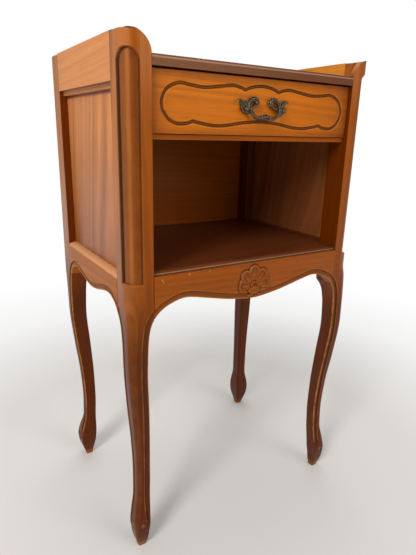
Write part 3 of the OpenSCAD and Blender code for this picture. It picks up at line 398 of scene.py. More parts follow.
def wood(name, base, grain, seed, cut, varnish=True, worn=0.5, shade=None, shine=0.25, nose=None, chips=()):
    """Varnished or bare wood with its grain along one axis: rings, fibres, pores, glazing, worn places, dust, and
    painted light and shade.

    shade is painted shade by height, as (height, share); nose is a painted highlight, a pale band: low, high, colour
    and share; chips are spots (x, y, z, radius). All in millimetres.
    """
    finish = bpy.context.scene.chest_finish
    graph = Graph(bpy.data.materials.new(name))
    figure, tilt, ring = CUTS[cut]
    along = AXES[grain]
    shift = np.random.default_rng(seed).uniform(-3.0, 3.0, 3)
    place = graph.node("ShaderNodeTexCoord").of("Object")
    rings = growth_rings(graph, place, along, shift, seed, tilt, ring)
    fibre = graph.noise(stretch(along, FIBRE), shift * 7, 3.0, 0.6)
    pores = graph.ramp(graph.noise(stretch(along, PORE), shift * 3, 1.0, 0.5), [(0.60, 0.0), (0.74, 1.0)])
    cloud = graph.noise([CLOUD] * 3, shift * 2, 3.0, 0.6)
    patches = graph.noise([PATCH] * 3, shift * 5, 4.0, 0.7)
    tone = clean_tone(graph, base, figure, rings, fibre, pores, cloud)
    # Painted sheen: where the fade mark is set, the wood turns to the paler pinkish tone that the key light gives the
    # side faces.
    sheen_tone = graph.mix(rings, toned(finish.rose, 0.9), toned(finish.rose, 1.35))
    tone = graph.mix(graph.mark("fade") * 0.75, tone, sheen_tone)
    # The darkening mark: real glazing, and painted shade on the legs' lower parts, the inner sides and the sunk panels;
    # the shade table adds painted shade by height.
    glaze = graph.mark("glaze")
    if shade:
        low, high = shade[0][0], shade[-1][0]
        stops = [((z - low) / (high - low), dim) for z, dim in shade]
        glaze = graph.maths("MAXIMUM", glaze, graph.ramp(height_share(graph, place, low, high), stops))
    tone = graph.mix(glaze, tone, graph.mix(1.0, tone, GLAZE_AND_SHADE_TINT, "MULTIPLY"))
    rubbed = rubbed_places(graph, place, patches, worn, chips)
    pale = (base[0] * 1.3 + 0.12, base[1] * 1.5 + 0.08, base[2] * 1.6 + 0.03)
    tone = graph.mix(rubbed * 0.8, tone, toned(pale, 1.0))
    # Painted highlight: a pale band along a board's rounded front edge.
    if nose:
        low, high, highlight_tone, highlight_share = nose
        band = graph.ramp(height_share(graph, place, low, high), [(0.0, 0.0), (0.3, 1.0), (0.7, 1.0), (1.0, 0.0)])
        tone = graph.mix(band * highlight_share, tone, highlight_tone)
    # Dust and dark varnish in the carving, and painted shadow along the walls of grooves and sunk panels.
    dirt_and_shadow = graph.maths("MINIMUM", graph.mark("groove") * (0.75 + 0.5 * patches), 1.0)
    rough = finish.gloss if varnish else RAW_ROUGH
    height = fibre * 0.35 - pores * 0.5 + cloud * 0.6
    graph.set({
        "Base Color": graph.mix(dirt_and_shadow, tone, tuple(finish.line)),
        "Roughness": rough + (fibre - 0.5) * 0.16 + (cloud - 0.5) * 0.18 + rubbed * 0.18 + dirt_and_shadow * 0.15,
        "Normal": graph.bump(height, 0.00016 if varnish else 0.0003, 0.8),
        "Specular IOR Level": shine if varnish else RAW_SHINE,
        "Specular Tint": WARM_SHINE,
    })
    return graph.owner


RUBBED_BRONZE = (0.44, 0.38, 0.27)
DULL_STEEL = (0.30, 0.28, 0.26)
CLEAN_STEEL = (0.55, 0.54, 0.52)


def bronze(name, seed):
    """Aged bronze: dark brown in the hollows, rubbed lighter on what stands out."""
    graph = Graph(bpy.data.materials.new(name))
    base = tuple(bpy.context.scene.chest_finish.bronze)
    proud = graph.ramp(graph.node("ShaderNodeNewGeometry").of("Pointiness"), [(0.50, 0.0), (0.56, 1.0)])
    shift = np.random.default_rng(seed).uniform(-3.0, 3.0, 3)
    spots = graph.noise([420.0] * 3, shift, 4.0, 0.65)
    large = graph.noise([90.0] * 3, shift, 3.0, 0.6)
    rubbed = graph.maths("MINIMUM", proud * (0.55 + 0.9 * large), 1.0)
    tone = graph.mix(spots, toned(base, 0.35), toned(base, 1.4))
    graph.set({
        "Base Color": graph.mix(rubbed, tone, RUBBED_BRONZE),
        "Roughness": 0.50 - rubbed * 0.18 + (spots - 0.5) * 0.3,
        "Normal": graph.bump(spots, 0.00015, 0.8),
        "Metallic": 0.85,
    })
    return graph.owner


def steel(name):
    """Plain steel of screws, pins and nuts, a little dull."""
    graph = Graph(bpy.data.materials.new(name))
    spots = graph.noise([300.0] * 3, (0, 0, 0), 4.0, 0.6)
    graph.set({
        "Base Color": graph.mix(spots, DULL_STEEL, CLEAN_STEEL),
        "Roughness": 0.35 + spots * 0.3,
        "Normal": graph.bump(spots, 0.0001, 0.5),
        "Metallic": 1.0,
    })
    return graph.owner


def stage_paint(name, tone):
    """Plain paint of the floor, which goes over into the white background away from the object."""
    graph = Graph(bpy.data.materials.new(name))
    graph.set({"Base Color": tone, "Roughness": 0.85})
    place = graph.node("ShaderNodeNewGeometry")
    far = graph.node("ShaderNodeVectorMath", {"operation": "LENGTH"}, {0: place}).of("Value")
    far = graph.ramp(far * 0.5, [(0.22, 0.0), (0.42, 0.75), (0.62, 1.0)])
    camera_ray = graph.node("ShaderNodeLightPath")
    bent_ray = graph.maths("MAXIMUM", camera_ray.of("Is Glossy Ray"), camera_ray.of("Is Transmission Ray"))
    seen = graph.maths("MAXIMUM", camera_ray, bent_ray)
    white = graph.node("ShaderNodeEmission", None, {"Color": (1.0, 1.0, 1.0)})
    paint = Value(graph, graph.shader.outputs[0])
    both = graph.node("ShaderNodeMixShader", None, {0: far * seen, 1: paint, 2: white})
    graph.surface(both)
    return graph.owner


# ---------------------------------------------------------------- mesh tools


def ease(low, high, value):
    """A smooth step from 0 at low to 1 at high."""
    t = np.clip((value - low) / (high - low), 0.0, 1.0)
    return t * t * (3 - 2 * t)


def rounded(gap, radius):
    """Depth of an edge rounded by that radius, at a distance from the edge."""
    return np.where(gap < radius, radius - np.sqrt(np.clip(radius ** 2 - (radius - gap) ** 2, 0, None)), 0)


def dome(gap, radius, height):
    """A rounded rise of that height, over the places where gap is less than radius."""
    return height * np.sqrt(np.clip(1 - (gap / radius) ** 2, 0, 1))


def between(points, steps):
    """Points of a smooth curve from the second control point up to the last but one, without that one."""
    out = []
    for a, b, c, d in zip(points, points[1:], points[2:], points[3:]):
        for t in np.arange(steps) / steps:
            out.append(
                0.5 * (2 * b + (c - a) * t + (2 * a - 5 * b + 4 * c - d) * t * t + (3 * b - a - 3 * c + d) * t ** 3)
            )
    return out


def curve(points, steps):
    """A smooth curve through control points."""
    p = [np.array(q, float) for q in points]
    return np.array(between([p[0], *p, p[-1]], steps) + [p[-1]])


def loop_curve(points, steps):
    """The same, round a closed outline."""
    p = [np.array(q, float) for q in points]
    return np.array(between([p[-1], *p, p[0], p[1]], steps))


def value_at(rows, z):
    """Value of a table of (height, value) rows at the heights z, without overshoot."""
    rows = np.array(rows, float)
    h, v = rows[:, 0], rows[:, 1]
    step = np.diff(v) / np.diff(h)
    slope = np.zeros(len(v))
    both = step[:-1] * step[1:]
    slope[1:-1] = np.where(both > 0, 2 * both / np.where(both > 0, step[:-1] + step[1:], 1), 0)
    z = np.clip(z, h[0], h[-1])
    i = np.clip(np.searchsorted(h, z, side="right") - 1, 0, len(h) - 2)
    size = h[i + 1] - h[i]
    s = (z - h[i]) / size
    return (
        (1 + 2 * s) * (1 - s) ** 2 * v[i] + s * (1 - s) ** 2 * slope[i] * size
        + s * s * (3 - 2 * s) * v[i + 1] - s * s * (1 - s) * slope[i + 1] * size
    )


def distance(points, line, closed=False):
    """Distance of each point to a line of short straight pieces, both in one plane."""
    points = np.asarray(points, float)
    flat = points.reshape(-1, 2)
    line = np.asarray(line, float)
    ends = np.roll(line, -1, axis=0) if closed else line[1:]
    starts = line if closed else line[:-1]
    best = np.full(len(flat), 1e9)
    for a, b in zip(starts, ends):
        run = b - a
        t = np.clip(((flat - a) @ run) / max(run @ run, 1e-12), 0, 1)
        gap = flat - a - t[:, None] * run
        best = np.minimum(best, (gap * gap).sum(axis=1))
    return np.sqrt(best).reshape(points.shape[:-1])


def ring_faces(count, n):
    """Faces of a closed tube of rings with n points each, and of its two ends."""
    grid = np.arange(count * n).reshape(count, n)
    a, b = grid[:-1], grid[1:]
    quads = np.stack([a, np.roll(a, -1, axis=1), np.roll(b, -1, axis=1), b], axis=-1).reshape(-1, 4)
    return [tuple(q) for q in quads.tolist()] + [tuple(grid[0].tolist()), tuple(grid[-1].tolist())]


def mesh_of(name, points, faces, marks=None):
    """A mesh of points in millimetres, each with its marks, and with the faces turned outwards."""
    mesh = bpy.data.meshes.new(name)
    mesh.from_pydata([tuple(p * MM for p in q) for q in points], [], faces)
    mesh.validate()
    for key, values in (marks or {}).items():
        layer = mesh.attributes.new(key, "FLOAT", "POINT")
        layer.data.foreach_set("value", np.asarray(values, np.float32))
    work = bmesh.new()
    work.from_mesh(mesh)
    bmesh.ops.remove_doubles(work, verts=work.verts, dist=WELD)
    bmesh.ops.dissolve_degenerate(work, edges=work.edges, dist=WELD)
    bmesh.ops.recalc_face_normals(work, faces=work.faces)
    work.to_mesh(mesh)
    work.free()
    return mesh


def placed(name, data):
    """A new object in the scene."""
    thing = bpy.data.objects.new(name, data)
    bpy.context.scene.collection.objects.link(thing)
    return thing


def smooth_shaded(mesh):
    """Shades all faces smooth."""
    mesh.polygons.foreach_set("use_smooth", [True] * len(mesh.polygons))


def piece(name, points, faces, material, body, replaced, marks=None, sharp=None):
    """A mesh in millimetres becomes a piece that rides on a body, with edges over an angle kept sharp."""
    mesh = mesh_of(name, points, faces, marks)
    smooth_shaded(mesh)
    if sharp:
        mesh.set_sharp_from_angle(angle=math.radians(sharp))
    thing = placed(name, mesh)
    mesh.materials.append(material)
    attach(thing, body)
    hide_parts(*replaced)
    return thing


# ---------------------------------------------------------------- lines of legs and aprons

FRONT_WAVE = [
    (0, 0), (0.245, 4.3), (0.428, 10.5), (0.562, 15.5), (0.654, 18.7), (0.721, 19.6),
    (0.789, 18), (0.862, 13.9), (0.917, 9.4), (0.96, 4), (1, LEG_TOP - APRON_LOW),
]
SIDE_WAVE = [
    (0, 0), (0.222, 2.8), (0.342, 6), (0.518, 10.4), (0.647, 12.2), (0.74, 11.7),
    (0.804, 9.6), (0.878, 5.6), (0.94, 0.2), (1, LEG_TOP - SIDE_LOW),
]
ARCH_FOOT = [(2.3, -5), (4.9, -11.5), (6.6, -18.5), (7.9, -29), (8.8, -39.7)]
OUTER_ROWS = [
    (0, 12), (12, 8.5), (25, 5), (42, 3.5), (60, 6), (90, 11.9), (130, 12.9),
    (180, 10.8), (240, 5.1), (300, 0.6), (330, 0), (LEG_TOP, 0),
]
INNER_ROWS = [
    (0, 24.5), (12, 26), (25, 28), (42, 30), (60, 31), (90, 32), (130, 33.2),
    (180, 32.5), (240, 29.7), (300, 26.5), (336, 27.5),
]
FLARE_ROWS = [(348.2, 0.16), (358.7, 0.3), (365.9, 0.48), (372.3, 0.755), (LEG_TOP, 1)]
WAIST = 27
EDGE_R = 1.6
# Stands for no edge near a place
FAR = 99.0
# Scrolls on the feet: where they start, their eye, and the curl's turns, start, radii and depth
SCROLL_TOP = 58
EYE = np.array([16.5, 43.0])
EYE_R = 3.0
CURL_TURNS = 2.1
CURL_START = math.radians(28)
CURL_R = (9.3, 3.7)
CURL_CUT = 1.25


def inner_line(size):
    """Rows of a leg's width, which flares from its waist to the post's size."""
    return INNER_ROWS + [(z, WAIST + f * (size - WAIST)) for z, f in FLARE_ROWS]


def round_rows(knee, top_r):
    """Rounding of a leg's outer corner: up to the knee, and from there to the post."""
    low = [(0, 3), (60, 6), (180, 7.5), (300, 9), (335, 9 + 0.25 * (knee - 9)), (367, 9 + 0.75 * (knee - 9))]
    over = [(0, 0), (0.3, 0.15), (0.52, 0.38), (0.76, 0.76), (1, 1)]
    return low + [(LEG_TOP + up * (KNEE_TOP - LEG_TOP), knee + part * (top_r - knee)) for up, part in over]


def arch(wave, half, low):
    """Lower edge of an apron with the start of the legs, as points of one half and its mirror."""
    right = [(p[0] * half, low + p[1]) for p in wave] + [(half + p[0], LEG_TOP + p[1]) for p in ARCH_FOOT]
    return curve([(-x, z) for x, z in reversed(right[1:])] + right, 8)


def edge_with_legs(wave, half, low, size_a, size_b, outer_a, outer_b):
    """Lower edge of an apron, run on down the inner edges of both legs to the scrolls."""
    line = arch(wave, half, low)
    middle = line[(line[:, 1] > LEG_TOP - 0.01) & (np.abs(line[:, 0]) < half + 0.01)]
    z = np.linspace(SCROLL_TOP, LEG_TOP, 90)
    start = np.column_stack([outer_a + value_at(inner_line(size_a), z), z])
    end = np.column_stack([outer_b - value_at(inner_line(size_b), z), z])[::-1]
    return np.vstack([start, middle, end])


FRONT_EDGE = edge_with_legs(FRONT_WAVE, SIDE_X - POST_W, APRON_LOW, POST_W, POST_W, -SIDE_X, SIDE_X)
SIDE_EDGE = edge_with_legs(
    SIDE_WAVE, SIDE_LEN / 2, SIDE_LOW, POST_D, BACK_POST, FRONT_Y - SIDE_MID, BACK_Y - SIDE_MID
)


def moulding(gap, carving):
    """Depth of the softened edge and of the hollow band beside it, at a distance from the edge."""
    wide = carving.line_w / MM
    start = carving.bead_w / MM - wide / 2
    deep = carving.line_depth / MM
    t = (gap - start) / wide
    hollow = deep * (0.62 + 0.38 * np.clip(t, 0, 1) ** 1.5) * ease(-0.06, 0.26, t) * (1 - ease(0.93, 1.05, t))
    return np.maximum(hollow, rounded(gap, EDGE_R))


def groove_mark(gap, carving):
    """How dark the band is: brown stain over its width, and painted shadow, darkest in the corner at its outer line."""
    wide = carving.line_w / MM
    t = (gap - carving.bead_w / MM) / wide + 0.5
    band = 0.42 * ease(-0.03, 0.10, t) * (1 - ease(0.95, 1.05, t))
    return np.maximum(band, 0.95 * (1 - ease(0.05, 0.17, np.abs(t - 0.95))))


def rub_and_highlight_mark(gap, carving):
    """How pale the edges beside the band are: worn, and with a painted highlight along the edge and beside the band's
    outer line.
    """
    outer = (carving.bead_w + carving.line_w / 2) / MM
    return np.maximum(1 - ease(0.8, 2.2, gap), 0.45 * (1 - ease(0.3, 1.3, np.abs(gap - outer - 1.3))))


def spiral():
    """The band's line as it curls round the eye of the scroll, measured from the eye."""
    turn = np.linspace(0, CURL_TURNS, 90)
    angle = CURL_START - turn * 2 * math.pi
    radius = CURL_R[0] - (CURL_R[0] - CURL_R[1]) * turn / CURL_TURNS
    curl = np.column_stack([radius * np.cos(angle), radius * np.sin(angle)])
    lead = curve([(7.4, 20), (7.7, 15), (8.6, 10), (8.6, 6.2), tuple(curl[0])], 6)
    return np.vstack([lead[:-1], curl])


SPIRAL = spiral()


def carve_face(across, z, outer, gap, scroll, carving):
    """Depth of a carved leg face under its outer plane, and its dark and pale places, painted shadow and highlights
    among them.
    """
    depth = outer + moulding(gap, carving)
    dark = groove_mark(gap, carving)
    rub_and_highlight = rub_and_highlight_mark(gap, carving)
    if scroll:
        fade = ease(52, 62, z)
        depth = outer + (depth - outer) * fade
        dark = dark * fade
        place = np.stack([across - EYE[0], z - EYE[1]], axis=-1)
        radius = np.hypot(place[..., 0], place[..., 1])
        size = carving.scroll_r / MM
        disc = 1 - ease(size - 0.6, size + 1.0, radius)
        face = 1.7 + 0.9 * (radius / size) ** 2
        depth = depth * (1 - disc) + np.minimum(depth, face) * disc
        cut = 1 - ease(0.5, 1.35, distance(place, SPIRAL))
        eye = np.clip(1 - (radius / EYE_R) ** 2, 0, 1)
        depth = depth + CURL_CUT * cut - np.sqrt(eye)
        dark = np.maximum(dark, cut)
        # The scroll's raised disc gets a painted highlight, and its eye is a little worn.
        rub_and_highlight = np.maximum(rub_and_highlight * fade, disc * (1 - cut) * 0.35 + eye * 0.1)
    return depth, dark, rub_and_highlight


# Angles of the points round a leg's outer corner, close together at both ends of its sunk panel
ARC = np.radians([
    0, 0.8, 1.6, 2.2, 2.8, 3.6, 5, 8, 12, 18, 25, 33, 41, 49, 57, 65, 72, 78, 82, 85, 86.4, 87.2, 87.8, 88.4, 89.2, 90,
])
INNER_STEPS = 16
FACE_STEPS = 46
# Ears that the front posts have over the board: thickness, flat part of the top, fall of the rest, hollow behind
EAR_T = 8.5
EAR_START = 10.4
EAR_DROP = 27.0
COVE_R = 12.5
TOP_R = 2.4
# How much slimmer the feet are round their scrolls than their plain outline, in millimetres
FRONT_SLIM = 1.2
BACK_SLIM = -1.2
# Arched panel in the front posts' corners: half its angle, its arch under the top, its foot under the apron's top
PANEL_TURN = math.radians(44.6)
PANEL_ARCH = 18.5
PANEL_FOOT = APRON_TOP - 10
# Knee's and post's rounding of the legs, in millimetres
FRONT_ROUND = (13.2, 21.6)
BACK_ROUND = (2.5, 2.5)
LEG_RUB = 0.12
GOLD_WEAR = 0.95


def level_list(front):
    """Heights of a leg's rings, close together at the scroll, the knee, the corner panel's ends and the top."""
    parts = [np.arange(0, 66, 0.8), np.arange(66, 340, 2.0), np.arange(340, 422, 1.6)]
    if front:
        parts += [np.arange(422, 430, 0.5), np.arange(430, 670, 8.0), np.arange(670, BOARD_Z - 0.4, 0.8)]
    else:
        parts += [np.arange(422, BOARD_Z - 0.4, 9.0)]
    parts += [[BOARD_Z, BOARD_Z + 0.001], np.arange(BOARD_Z + 0.8, TOP_Z - TOP_R - 0.2, 0.8)]
    parts += [TOP_Z - TOP_R + TOP_R * np.sin(np.linspace(0, math.pi / 2, 9))]
    return np.concatenate(parts)


def corner_panel(angle, z, top_r):
    """How far a point on the corner's arc lies inside the arched panel, in millimetres."""
    half = (top_r + 0.2) * math.sin(PANEL_TURN)
    arch_z = TOP_Z - PANEL_ARCH - half
    across = top_r * np.sin(angle - math.pi / 4)
    side = (PANEL_TURN - np.abs(angle - math.pi / 4)) * top_r
    over = half - np.hypot(across, np.maximum(z - arch_z, 0))
    return np.minimum(np.minimum(side, z - PANEL_FOOT), np.where(z > arch_z, over, side))


def post_inside(z, wide, deep, ear):
    """Points round the inner side of a post at one height, from its front face to its side face."""
    if z <= BOARD_Z:
        run = (deep - EDGE_R - 1.2) / (INNER_STEPS - 1)
        side = [(wide, EDGE_R + run * k) for k in range(INNER_STEPS)]
        return side + [(wide - 0.35, deep - 0.35), (wide - 1.2, deep)]
    ear_side = [(wide, EDGE_R), (wide, ear * 0.5), (wide, ear - 0.8), (wide - 0.25, ear - 0.25)]
    cove = [
        (RAIL_T + COVE_R * (1 - math.sin(a)), ear + COVE_R * (1 - math.cos(a)))
        for a in np.linspace(0, math.pi / 2, INNER_STEPS - 6)
    ]
    rest = [(RAIL_T, ear + COVE_R + (deep - ear - COVE_R) * k / 3) for k in (1, 2, 3)]
    points = ear_side + cove + rest
    return points[:INNER_STEPS + 1] + [(RAIL_T - 0.4, deep)]


def corner_part(z, outer, r, top_r, panel, low_glaze_and_shade, carving):
    """A leg's rounded outer corner at one height, with its sunk panel or without, and its marks."""
    arc = np.column_stack([outer + r - r * np.cos(ARC), outer + r - r * np.sin(ARC)])
    dark = np.zeros(len(ARC))
    rub_and_highlight = np.full(len(ARC), LEG_RUB)
    glaze = np.full(len(ARC), low_glaze_and_shade)
    if panel:
        inside = corner_panel(ARC, z, top_r)
        sink = carving.panel_sink / MM * ease(0.0, 1.3, inside)
        middle = np.array([outer + r, outer + r])
        arc = middle + (arc - middle) / r * (r - sink)[:, None]
        # Painted shadow of the panel's walls: dark lines along its sides, wider and darker on its left.
        left = 1 - ease(math.radians(30), math.radians(60), ARC)
        line_w = 2.0 + 1.6 * left
        dark = (0.75 + 0.25 * left) * ease(0.0, 0.6, inside) * (1 - ease(0.6 * line_w, line_w, inside))
        # Pale foot ledge and rim: painted highlight where they catch the light, and worn at the foot.
        foot = (1 - ease(0.8, 2.4, abs(z - PANEL_FOOT))) * ease(-1.5, 1.0, inside)
        dark = dark * (1 - foot)
        rub_and_highlight = np.maximum(np.where(np.abs(inside) < 0.7, 0.5, LEG_RUB), foot)
        # Painted shade in the sunk field, with a painted highlight line down its middle.
        highlight_streak = 0.62 * np.exp(-((np.degrees(ARC) - 46) / 7) ** 2)
        glaze = np.maximum(glaze, (0.70 - highlight_streak) * ease(0.3, 1.6, inside))
    return arc[:-1], dark[:-1], rub_and_highlight[:-1], glaze[:-1]


def inner_part(z, outer, end_u, end_v, wide, deep, ear):
    """A leg's two inner sides at one height, from its front face round to its side face."""
    if z > LEG_TOP:
        inner = np.array(post_inside(z, wide, deep, ear))
    else:
        y = np.linspace(outer + EDGE_R, end_v - 2.5, INNER_STEPS)
        y[1] = y[0] + 0.6
        inner = np.vstack([
            np.column_stack([np.full(INNER_STEPS, end_u), y]), [[end_u - 0.75, end_v - 0.75], [end_u - 2.5, end_v]]
        ])
    end = outer + (EDGE_R if z < LEG_TOP else 0.3)
    tail = np.append(np.linspace(inner[-1][0], end, 4)[1:-1], [end + 0.6, end])
    return np.vstack([inner, np.column_stack([tail, np.full(4, end_v)])])


def leg_ring(z, wide, deep, knee, top_r, front, carving):
    """One ring of a leg with its post, from its outer corner, with the marks of its points."""
    # Outer planes, ends of the front and side faces, and rounding r of the corner between them
    low = min(z, LEG_TOP)
    slim = (FRONT_SLIM if front else BACK_SLIM) * float(ease(8, 30, z) * (1 - ease(50, 90, z)))
    outer = max(float(value_at(OUTER_ROWS, low)) + slim, 0.4)
    end_u = float(value_at(inner_line(wide), low)) - slim
    end_v = float(value_at(inner_line(deep), low)) - slim
    r = float(value_at(round_rows(knee, top_r), z))
    # Painted shade, with darker varnish: the legs darken towards the floor, their side faces more.
    low_glaze_and_shade = 0.78 * float(1 - ease(290, 450, z)) + 0.30 * float(1 - ease(430, 600, z))
    corner, dark_c, rub_and_highlight_c, glaze_and_shade_c = corner_part(z, outer, r, top_r, front and z > LEG_TOP, low_glaze_and_shade, carving)
    inner = inner_part(z, outer, end_u, end_v, wide, deep, EAR_T if front else RAIL_T)
    edge_u = end_u if z <= LEG_TOP else inner[0][0]
    u = outer + r + (edge_u - outer - r) * ease_face(FACE_STEPS)
    v = outer + r + (end_v - outer - r) * ease_face(FACE_STEPS)
    heights = np.full(FACE_STEPS, z)
    gap_u = distance(np.column_stack([u - SIDE_X, heights]), FRONT_EDGE) if front else np.full(FACE_STEPS, FAR)
    reach = FRONT_Y + v - SIDE_MID if front else BACK_Y - v - SIDE_MID
    gap_v = distance(np.column_stack([reach, heights]), SIDE_EDGE) + (FAR if z > LEG_TOP + 60 else 0)
    depth_u, dark_u, rub_and_highlight_u = carve_face(u, heights, outer, gap_u, front, carving)
    depth_v, dark_v, rub_and_highlight_v = carve_face(v, heights, outer, gap_v, True, carving)
    depth_u = np.maximum(depth_u, outer + rounded(np.abs(edge_u - u), EDGE_R))
    depth_v = np.maximum(depth_v, outer + rounded(np.abs(end_v - v), EDGE_R) * (z < LEG_TOP))
    ring = np.vstack([corner, np.column_stack([u, depth_u]), inner, np.column_stack([depth_v, v])[::-1][:-1]])
    if z > BOARD_Z:
        ring = round_top(ring, z, wide, r, front)
    zeros = np.zeros(len(inner))
    face_v = np.zeros(FACE_STEPS - 1)
    # Golden ears, painted pinkish sheen on the front posts' tops, rubbed feet, painted sheen on the side faces, and
    # painted shade on the inner sides under the board
    gold = GOLD_WEAR * float(ease(BOARD_Z - 1, BOARD_Z + 1, z)) if front else 0.0
    foot_rub = 0.6 * float(1 - ease(2, 15, z))
    pink_sheen = 0.5 * float(ease(630, 710, z)) if front else 0.0
    # Painted sheen of the key light: the side faces, and the half of the corner towards them, turn pale pinkish.
    sheen_c = (1 - ease(math.radians(20), math.radians(75), ARC))[:-1]
    # Painted shade on the posts' inner sides, under the board and inside the niche.
    inner_shade = 0.78 * float(ease(385, 425, z) * (1 - ease(BOARD_Z - 3, BOARD_Z, z)))
    marks = {
        "groove": (dark_c, dark_u, zeros, dark_v[::-1][:-1]),
        "wear": (rub_and_highlight_c, rub_and_highlight_u, gold + zeros, rub_and_highlight_v[::-1][:-1]),
        "fade": (sheen_c, pink_sheen + 0 * dark_u, zeros, 1 + face_v),
        "glaze": (glaze_and_shade_c, low_glaze_and_shade + 0 * dark_u, max(low_glaze_and_shade, inner_shade) + zeros,
                  min(low_glaze_and_shade * 1.35, 0.85) + face_v),
    }
    marks = {key: np.concatenate(parts) for key, parts in marks.items()}
    marks["wear"] = np.maximum(marks["wear"], foot_rub)
    # The painted sheen starts above the knees.
    marks["fade"] = marks["fade"] * float(ease(330, 430, z))
    return np.column_stack([ring, np.full(len(ring), z)]), marks


def leg_rings(wide, deep, knee, top_r, front, carving):
    """Rings of a whole leg with its post, and the marks of their points."""
    rows = [leg_ring(z, wide, deep, knee, top_r, front, carving) for z in level_list(front)]
    rings = np.array([ring for ring, _ in rows])
    return rings, {key: np.concatenate([marks[key] for _, marks in rows]) for key in rows[0][1]}


def round_top(ring, z, wide, r, front):
    """Top of a post: the front posts fall away towards their inner side, and all edges are softened."""
    ring = ring.copy()
    if front:
        rise = max(z - (TOP_Z - EAR_DROP), 0) / EAR_DROP
        limit = EAR_START + (wide - EAR_START) * math.sqrt(max(1 - rise ** 2, 0))
        over = ring[:, 0] > limit
        ring[over, 0] = limit
        if limit < r:
            ring[over, 1] = np.maximum(ring[over, 1], r - math.sqrt(r ** 2 - (r - limit) ** 2))
    up = z - (TOP_Z - TOP_R)
    if up > 0:
        ring = inset_ring(ring, TOP_R - math.sqrt(max(TOP_R ** 2 - up ** 2, 0)))
    return ring


def ease_face(count):
    """Steps over a face, closer together towards its inner edge, where it is carved."""
    t = np.linspace(0, 1, count)
    return 1 - (1 - t) ** 1.5


def inset_ring(ring, amount):
    """A closed ring drawn a little inside itself."""
    ahead = np.roll(ring, -1, axis=0)
    behind = np.roll(ring, 1, axis=0)
    run = ahead - behind
    size = np.linalg.norm(run, axis=1)
    size[size < 1e-6] = 1e9
    normal = np.column_stack([-run[:, 1], run[:, 0]]) / size[:, None]
    area = np.sum(ring[:, 0] * ahead[:, 1] - ahead[:, 0] * ring[:, 1])
    return ring + normal * amount * (1 if area > 0 else -1)


class CHEST_OT_legs(bpy.types.Operator):
    """Four legs with their posts, swept ring by ring and carved"""

    bl_idname = "chest.legs"
    bl_label = "Legs and posts"

    def execute(self, context):
        carving = context.scene.chest_carving
        finish = context.scene.chest_finish
        for end in ("front", "back"):
            front = end == "front"
            shape = (POST_W, POST_D, *FRONT_ROUND) if front else (BACK_POST, BACK_POST, *BACK_ROUND)
            rings, marks = leg_rings(*shape, front, carving)
            for side, sign in (("left", -1), ("right", 1)):
                node = f"{end}_{side}_leg"
                points = rings.reshape(-1, 3).copy()
                points[:, 0] = sign * (SIDE_X - points[:, 0])
                points[:, 1] = FRONT_Y + points[:, 1] if front else BACK_Y - points[:, 1]
                seed = 11 + 3 * (sign + 1) + (0 if front else 20)
                material = wood(
                    node + "_wood", tuple(finish.amber), "Z", seed, "leg", worn=0.55 if front else 0.0,
                    chips=CHIPS.get(node, ()),
                )
                piece(
                    f"carved_{node}", points, ring_faces(*rings.shape[:2]), material, "case", (node,), marks, 38
                )
        return {"FINISHED"}


# ---------------------------------------------------------------- aprons

APRON_T = 20.0
# Shell, in millimetres: root and boss over the apron's edge, its shift and lean, half of the band's gap, half width
SHELL_ROOT = 18.0
SHELL_BOSS = 12.4
SHELL_ASIDE = 0.6
SHELL_LEAN = 0.05
SHELL_EDGE = 12.5
SHELL_HALF = 38.0
# Lobes: degrees from one to the next, reach from the root to their tips and to the notches between them
LOBE_TURN = 40.0
LOBE_REACH = (29.0, 32.6, 34.0, 32.6, 29.0)
NOTCH_REACH = 28.0
# Boss and the fan's bow over it, and how strongly hollows and ridges are marked
BOSS_HALF = (10.9, 7.4)
BOSS_RISE = 4.6
BOW_UP = 6.5
BOW_R = 6.2
FAN_RIBS = 9
SHELL_DARK = 3.2
SHELL_RUB = 1.2
# Stands for no relief at a place, below all real ones
NOWHERE = -9.0


def shell_lobes(x, up):
    """Five fluted lobes with ribs between them, round the shell's root, at a height over it."""
    angle = np.degrees(np.arctan2(x, up))
    index = np.clip(np.round(angle / LOBE_TURN), -2, 2)
    across = np.clip((angle - index * LOBE_TURN) / (LOBE_TURN / 2), -1.25, 1.25)
    full = np.choose((index + 2).astype(int), LOBE_REACH)
    out = np.hypot(x, up) / (full - (full - NOTCH_REACH) * across ** 2)
    body = 0.7 + 2.1 * ease(0.45, 0.90, out)
    flute = 1.5 * np.clip(1 - across ** 2, 0, 1) ** 0.7 * ease(0.30, 0.55, out) * (1 - ease(0.80, 0.93, out))
    rib = 0.5 * np.exp(-((np.abs(across) - 1) / 0.16) ** 2) * (1 - ease(0.7, 0.9, out))
    veins = 0.22 * np.cos(across * 3 * math.pi) * ease(0.4, 0.6, out) * (1 - ease(0.82, 0.92, out))
    return (body - flute + rib + veins) * (1 - ease(0.95, 1.03, out)) * (1 - ease(98, 104, np.abs(angle)))


def shell_boss(x, up):
    """The round boss, notched at its top, at a height over its middle."""
    notch = 1.2 * np.exp(-(x / 2.0) ** 2) * ease(3.0, 7.0, up)
    gap = np.hypot(x / BOSS_HALF[0], (up - 0.9 + 0.35 * notch) / BOSS_HALF[1])
    return dome(gap, 1.0, BOSS_RISE) - 0.4 - 0.3 * notch


def shell_bow(x, up):
    """The rimmed arch with its fan, at a height over the boss's middle."""
    ring = np.hypot(x, (up - 6.6) * 0.94)
    fan = 1.2 - 0.5 * np.cos(np.arctan2(x, up) * FAN_RIBS)
    bow = np.maximum(dome(ring - BOW_R, 1.5, 3.0), np.where(ring < BOW_R, fan, 0))
    return np.where(up > BOW_UP, bow, 0) - 0.1


